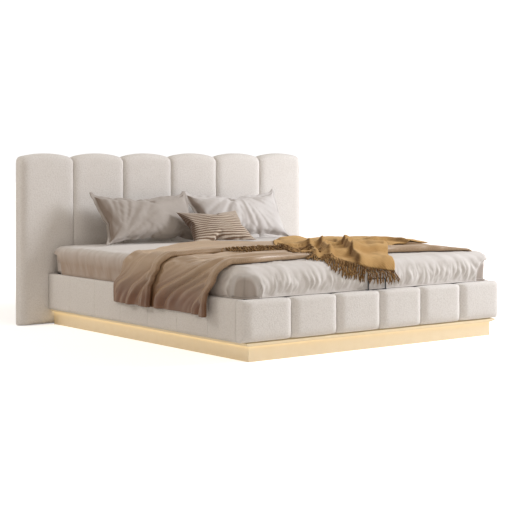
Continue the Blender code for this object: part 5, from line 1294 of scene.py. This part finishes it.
def build_slats():
    """Bowed beech slats in two rows, held by nylon cups on the centre tube and the platform's side
    tubes."""
    slats, cups, tube = ([], []), ([], []), ([], [])
    inner_cup, outer_cup = (TUBE - CUP_WALL) / 2, 0.8447
    inner, outer = TUBE / 2 - CUP_WALL, outer_cup - CUP_WALL / 2
    end = slat_underside(1)
    mouth = slat_underside(0.937) - end
    for number in range(SLAT_ROWS):
        y = SLAT_FIRST_Y + (SLAT_LAST_Y - SLAT_FIRST_Y) * number / (SLAT_ROWS - 1)
        for side in (-1, 1):
            loops = []
            for step in range(13):
                share = step / 6 - 1
                low = slat_underside(share)
                x = side * (inner + (outer - inner) * (share + 1) / 2)
                loops.append(section(x, y, SLAT_WIDE / 2, low, low + SLAT_THICK))
            add_block(*slats, loops)
            for face, inward in ((inner_cup, 1), (outer_cup, -1)):
                add_block(*cups, [section(side * x, y, SLAT_WIDE / 2 + CUP_WALL, end - CUP_WALL + lift,
                                          end + SLAT_THICK + CUP_WALL + lift)
                                  for x, lift in ((face, 0.0), (face + inward * CUP_DEEP, mouth))])
    half, low, high = TUBE / 2, TUBE_LOW, TUBE_LOW + TUBE
    add_block(*tube, [[(-half, y, low), (half, y, low), (half, y, high), (-half, y, high)]
                      for y in (-0.9347, 0.9397)])
    for name, (points, faces), material, slot in (
            ("slats", slats, BEECH, "beech_slats"), ("slat_cups", cups, NYLON, "black_nylon"),
            ("centre_tube", tube, COAT, "black_powder_coat")):
        item = make_piece(name, points, faces, material, "platform", smooth=False)
        edge = item.modifiers.new("softened", "BEVEL")
        edge.width = 0.0012
        edge.segments = 2
        facing_out(item)
        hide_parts("slat_deck")


build_slats()


# Stuffed cases

CASE_CELL = 0.0125


def blow_up(points, faces, frames):
    """The points of a sewn case after its cloth has been pressed out from inside for some frames."""
    mesh = bpy.data.meshes.new("case_start")
    mesh.from_pydata([tuple(p) for p in points], [], faces)
    item = put_in_scene("case_start", mesh)
    cloth = item.modifiers.new("stuffing", "CLOTH")
    cloth.settings.quality = 5
    cloth.settings.mass = 0.15
    cloth.settings.tension_stiffness = 25
    cloth.settings.compression_stiffness = 25
    cloth.settings.shear_stiffness = 12
    cloth.settings.bending_stiffness = 0.25
    cloth.settings.air_damping = 2.0
    cloth.settings.use_pressure = True
    cloth.settings.uniform_pressure_force = 6.0
    cloth.settings.effector_weights.gravity = 0.0
    cloth.point_cache.frame_start = 1
    cloth.point_cache.frame_end = frames
    for step in range(1, frames + 1):
        bpy.context.scene.frame_set(step)
    shaped = item.evaluated_get(bpy.context.evaluated_depsgraph_get())
    result = np.zeros(len(points) * 3)
    shaped.data.vertices.foreach_get("co", result)
    bpy.context.scene.frame_set(1)
    bpy.data.objects.remove(item)
    bpy.data.meshes.remove(mesh)
    return result.reshape(-1, 3)


def stuffed_case(width, height, flange, thickness, seed, frames):
    """The front and back layers of a case, as grids of points: two cloths sewn together along a rectangle
    and blown up from inside, with a flat flange round them."""
    across = int(round(width / CASE_CELL))
    up = int(round(height / CASE_CELL))
    rim = int(round(flange / CASE_CELL))
    columns, rows = across + 2 * rim + 1, up + 2 * rim + 1
    points = []
    front = {}
    back = {}

    def spread(index, count, size):
        inside = (index - rim) / count
        if inside < 0:
            return -size / 2 + inside * count * (flange / rim)
        if inside > 1:
            return size / 2 + (inside - 1) * count * (flange / rim)
        return (inside - 0.5) * size

    for row in range(rows):
        for column in range(columns):
            x, z = spread(column, across, width), spread(row, up, height)
            front[row, column] = len(points)
            points.append((x, 0.0, z))
    for row in range(rim, rim + up + 1):
        for column in range(rim, rim + across + 1):
            if row in (rim, rim + up) or column in (rim, rim + across):
                back[row, column] = front[row, column]
            else:
                x, _, z = points[front[row, column]]
                u, v = 2 * x / width, 2 * z / height
                start = 0.25 * thickness * (1 - u ** 4) * (1 - v ** 4)
                start *= 1 + 0.25 * wander(x * 9, z * 9, seed)
                back[row, column] = len(points)
                points.append((x, start, z))
                points[front[row, column]] = (x, -start, z)
    faces = []
    for row in range(rows - 1):
        for column in range(columns - 1):
            faces.append((front[row, column], front[row, column + 1], front[row + 1, column + 1],
                          front[row + 1, column]))
    for row in range(rim, rim + up):
        for column in range(rim, rim + across):
            faces.append((back[row, column], back[row + 1, column], back[row + 1, column + 1],
                          back[row, column + 1]))
    result = blow_up(points, faces, frames)
    result *= np.array((width + 2 * flange, thickness, height + 2 * flange)) / np.ptp(result, axis=0)
    top = np.array([[result[front[row, column]] for column in range(columns)] for row in range(rows)])
    if rim:
        for row in range(rows):
            for column in range(columns):
                near_row = min(max(row, rim), rim + up)
                near_column = min(max(column, rim), rim + across)
                if (near_row, near_column) != (row, column):
                    out_x = (column - near_column) * flange / rim
                    out_z = (row - near_row) * flange / rim
                    wave = 0.004 * wander(column * 0.35, row * 0.35, seed + 4)
                    tuck = max(-out_z, 0.0)
                    step = (out_x * 0.97, wave + 0.75 * tuck, out_z * 0.97 + 0.75 * tuck)
                    top[row, column] = top[near_row, near_column] + step
    under = top.copy()
    ahead = np.gradient(top, axis=1)
    upward = np.gradient(top, axis=0)
    out = np.cross(ahead, upward)
    out /= np.maximum(np.linalg.norm(out, axis=2, keepdims=True), 1e-9)
    for row in range(rows):
        for column in range(columns):
            if rim < row < rim + up and rim < column < rim + across:
                under[row, column] = result[back[row, column]]
            else:
                on_seam = rim <= row <= rim + up and rim <= column <= rim + across
                half = 0.0005 if on_seam else 0.0014
                top[row, column] = top[row, column] + out[row, column] * half
                under[row, column] = under[row, column] - out[row, column] * half
    return top, under


def lay_case(name, node, top, under, material, slot, fill, lean, turn, x, y, against=False, dent=None):
    """Leans a stuffed case back on the mattress, presses its lower edge flat there and joins its two
    layers. Y is the case's middle, or its back where it leans against something."""
    rows, columns = top.shape[:2]
    points = np.concatenate([top.reshape(-1, 3), under.reshape(-1, 3)])
    uvs = np.concatenate([top.reshape(-1, 3)[:, (0, 2)]] * 2)
    if dent is not None:
        points = dent(points)
    turned_round = Matrix.Rotation(math.radians(turn), 3, "Z")
    leaned_back = Matrix.Rotation(-math.radians(lean), 3, "X")
    points = points @ np.array(turned_round @ leaned_back).T
    points += np.array((x, y - (points[:, 1].max() if against else 0.0), 0.0))
    ground = np.array([mattress_top(*place) for place in points[:, :2]])
    points[:, 2] -= np.quantile(points[:, 2] - ground, 0.006)
    above = points[:, 2] - ground
    lowest, soft = 0.0035, 0.018
    pressed = np.where(above < soft, lowest + (soft - lowest) * np.exp((above - soft) / soft), above)
    points[:, 2] = ground + pressed
    points[:, 1] -= np.clip(soft - above, 0.0, None) * 0.35
    count = rows * columns
    faces = []
    for row in range(rows - 1):
        for column in range(columns - 1):
            first = row * columns + column
            behind = first + count
            faces.append((first, first + 1, first + 1 + columns, first + columns))
            faces.append((behind, behind + columns, behind + 1 + columns, behind + 1))
    rim = list(range(columns - 1))
    rim += [row * columns + columns - 1 for row in range(rows - 1)]
    rim += [(rows - 1) * columns + column for column in range(columns - 1, 0, -1)]
    rim += [row * columns for row in range(rows - 1, 0, -1)]
    for index, first in enumerate(rim):
        second = rim[(index + 1) % len(rim)]
        faces.append((first, first + count, second + count, second))
    item = make_piece(name, points, faces, material, "platform", levels=1, uvs=uvs)
    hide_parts(node)


def pillow_creases(seed, spread_from, strength=0.011):
    """Creases that fan out over a case from one place near its edge."""
    def shape(points):
        moved = points.copy()
        for index, (x, y, z) in enumerate(points):
            dx, dz = x - spread_from[0], z - spread_from[1]
            reach = math.hypot(dx, dz)
            angle = math.atan2(dz, dx)
            fan = min(abs(wander(angle * 6.0, reach * 2.0, seed)) * 2.4, 1.0)
            small = min(abs(wander(angle * 13.0, reach * 4.0, seed + 3)) * 2.4, 1.0)
            near = smooth_step(0.03, 0.12, reach) * (1 - smooth_step(0.25, 0.50, reach))
            edge = smooth_step(0.0, 0.03, 0.325 - abs(x)) * smooth_step(0.0, 0.03, 0.17 - abs(z))
            side = -1.0 if y < 0 else 0.6
            moved[index, 1] = y + side * strength * (0.7 * fan + 0.3 * small - 0.45) * near * edge
        return moved
    return shape


top, under = stuffed_case(0.680, 0.335, flange=0.026, thickness=0.150, seed=1.0, frames=22)
lay_case("pillow_left_case", "pillow_left", top, under, CASE_LEFT_PAINTED_SHADE, "grey_beige_pillowcase", fill=0.6,
         lean=33, turn=2, x=-0.337, y=HEAD_Y - 0.095, against=True, dent=pillow_creases(2.0, (-0.28, -0.15)))
mirrored = [layer[:, ::-1] * (-1, 1, 1) for layer in (top, under)]
lay_case("pillow_right_case", "pillow_right", *mirrored, CASE, "grey_beige_pillowcase", fill=0.6,
         lean=33, turn=-2, x=0.394, y=HEAD_Y - 0.095, against=True, dent=pillow_creases(6.0, (0.02, 0.19)))
top, under = stuffed_case(0.475, 0.32, flange=0.0, thickness=0.105, seed=5.0, frames=20)
lay_case("lumbar_cushion_cover", "lumbar_cushion", top, under, KNIT, "brown_striped_knit", fill=0.7,
         lean=52, turn=-4, x=0.045, y=HEAD_Y - 0.450)


# Floor, lights and camera

def seen_rays(tree):
    """The kinds of rays, and 1 for those that the camera sends or that a glossy surface sends back."""
    rays = add(tree, "ShaderNodeLightPath")
    seen = add(tree, "ShaderNodeMath", {0: rays.outputs["Is Camera Ray"], 1: rays.outputs["Is Glossy Ray"]},
               operation="MAXIMUM")
    return rays, seen.outputs[0]


def add_lamp(name, place, target, size, power, colour):
    """A rectangular lamp at one place, turned to another."""
    data = bpy.data.lights.new(name, "AREA")
    data.shape = "RECTANGLE"
    data.size, data.size_y = size
    data.energy = power
    data.color = colour
    item = put_in_scene(name, data)
    item.location = place
    item.rotation_mode = "QUATERNION"
    item.rotation_quaternion = (Vector(target) - Vector(place)).to_track_quat("-Z", "Y")


def build_stage():
    """A plain pale floor that keeps the bed's shadow, with a soft key from the right and an even fill."""
    mesh = bpy.data.meshes.new("floor")
    mesh.from_pydata([(-40, -40, 0), (40, -40, 0), (40, 40, 0), (-40, 40, 0)], [], [(0, 1, 2, 3)])
    floor = put_in_scene("floor", mesh)
    material = bpy.data.materials.new("pale_studio_floor")
    material.use_nodes = True
    tree = material.node_tree
    shader = tree.nodes["Principled BSDF"]
    shader.inputs["Base Color"].default_value = linear("#EDEBE8")
    shader.inputs["Roughness"].default_value = 0.9
    place = add(tree, "ShaderNodeTexCoord").outputs["Object"]
    far = add(tree, "ShaderNodeVectorMath", {0: place}, operation="LENGTH")
    fade = add(tree, "ShaderNodeMapRange", {"Value": far.outputs["Value"], "From Min": 2.0, "From Max": 5.0,
                                            "To Min": 0.55, "To Max": 0.80})
    power = add(tree, "ShaderNodeMath", {0: seen_rays(tree)[1], 1: fade.outputs["Result"]},
                operation="MULTIPLY")
    shader.inputs["Emission Color"].default_value = (1.0, 1.0, 1.0, 1.0)
    tree.links.new(power.outputs[0], shader.inputs["Emission Strength"])
    mesh.materials.append(material)

    world = bpy.data.worlds.new("studio")
    bpy.context.scene.world = world
    world.use_nodes = True
    tree = world.node_tree
    background = tree.nodes["Background"]
    rays, seen = seen_rays(tree)
    clear = add(tree, "ShaderNodeMath", {0: seen, 1: rays.outputs["Is Transmission Ray"]},
                operation="MAXIMUM")
    power = add(tree, "ShaderNodeMapRange", {"Value": clear.outputs[0], "To Min": 0.42, "To Max": 1.05})
    tree.links.new(power.outputs["Result"], background.inputs["Strength"])
    tint = blend_colours(tree, clear.outputs[0], "#FFF2E2", "#FFFFFF")
    tree.links.new(tint, background.inputs["Color"])

    add_lamp("key", (5.5, -2.9, 3.2), (0.2, 0.2, 0.5), (2.6, 2.2), 352.0, (0.965, 0.99, 1.04))
    add_lamp("front_fill", (-1.2, -3.8, 4.4), (-0.3, 1.0, 0.7), (3.0, 2.0), 38.0, (1.0, 0.975, 0.95))
    add_lamp("left_behind", (-4.4, 2.2, 3.2), (-0.9, 0.0, 0.3), (1.6, 1.6), 54.0, (1.0, 0.955, 0.91))


def build_camera():
    """A level camera whose lens shift brings the bed into the middle of the square picture."""
    picture, focal, horizon = 515, 1396.4, 153.43
    data = bpy.data.cameras.new("camera")
    data.sensor_width = 36.0
    data.lens = focal / picture * data.sensor_width
    data.shift_y = -(picture / 2 - horizon) / picture
    data.clip_end = 200.0
    item = put_in_scene("camera", data)
    item.location = (-5.291, -6.869, 1.0891)
    item.rotation_euler = (math.pi / 2, 0.0, -math.radians(37.4155))
    bpy.context.scene.camera = item


build_stage()
build_camera()
bpy.context.scene.view_settings.view_transform = "Standard"
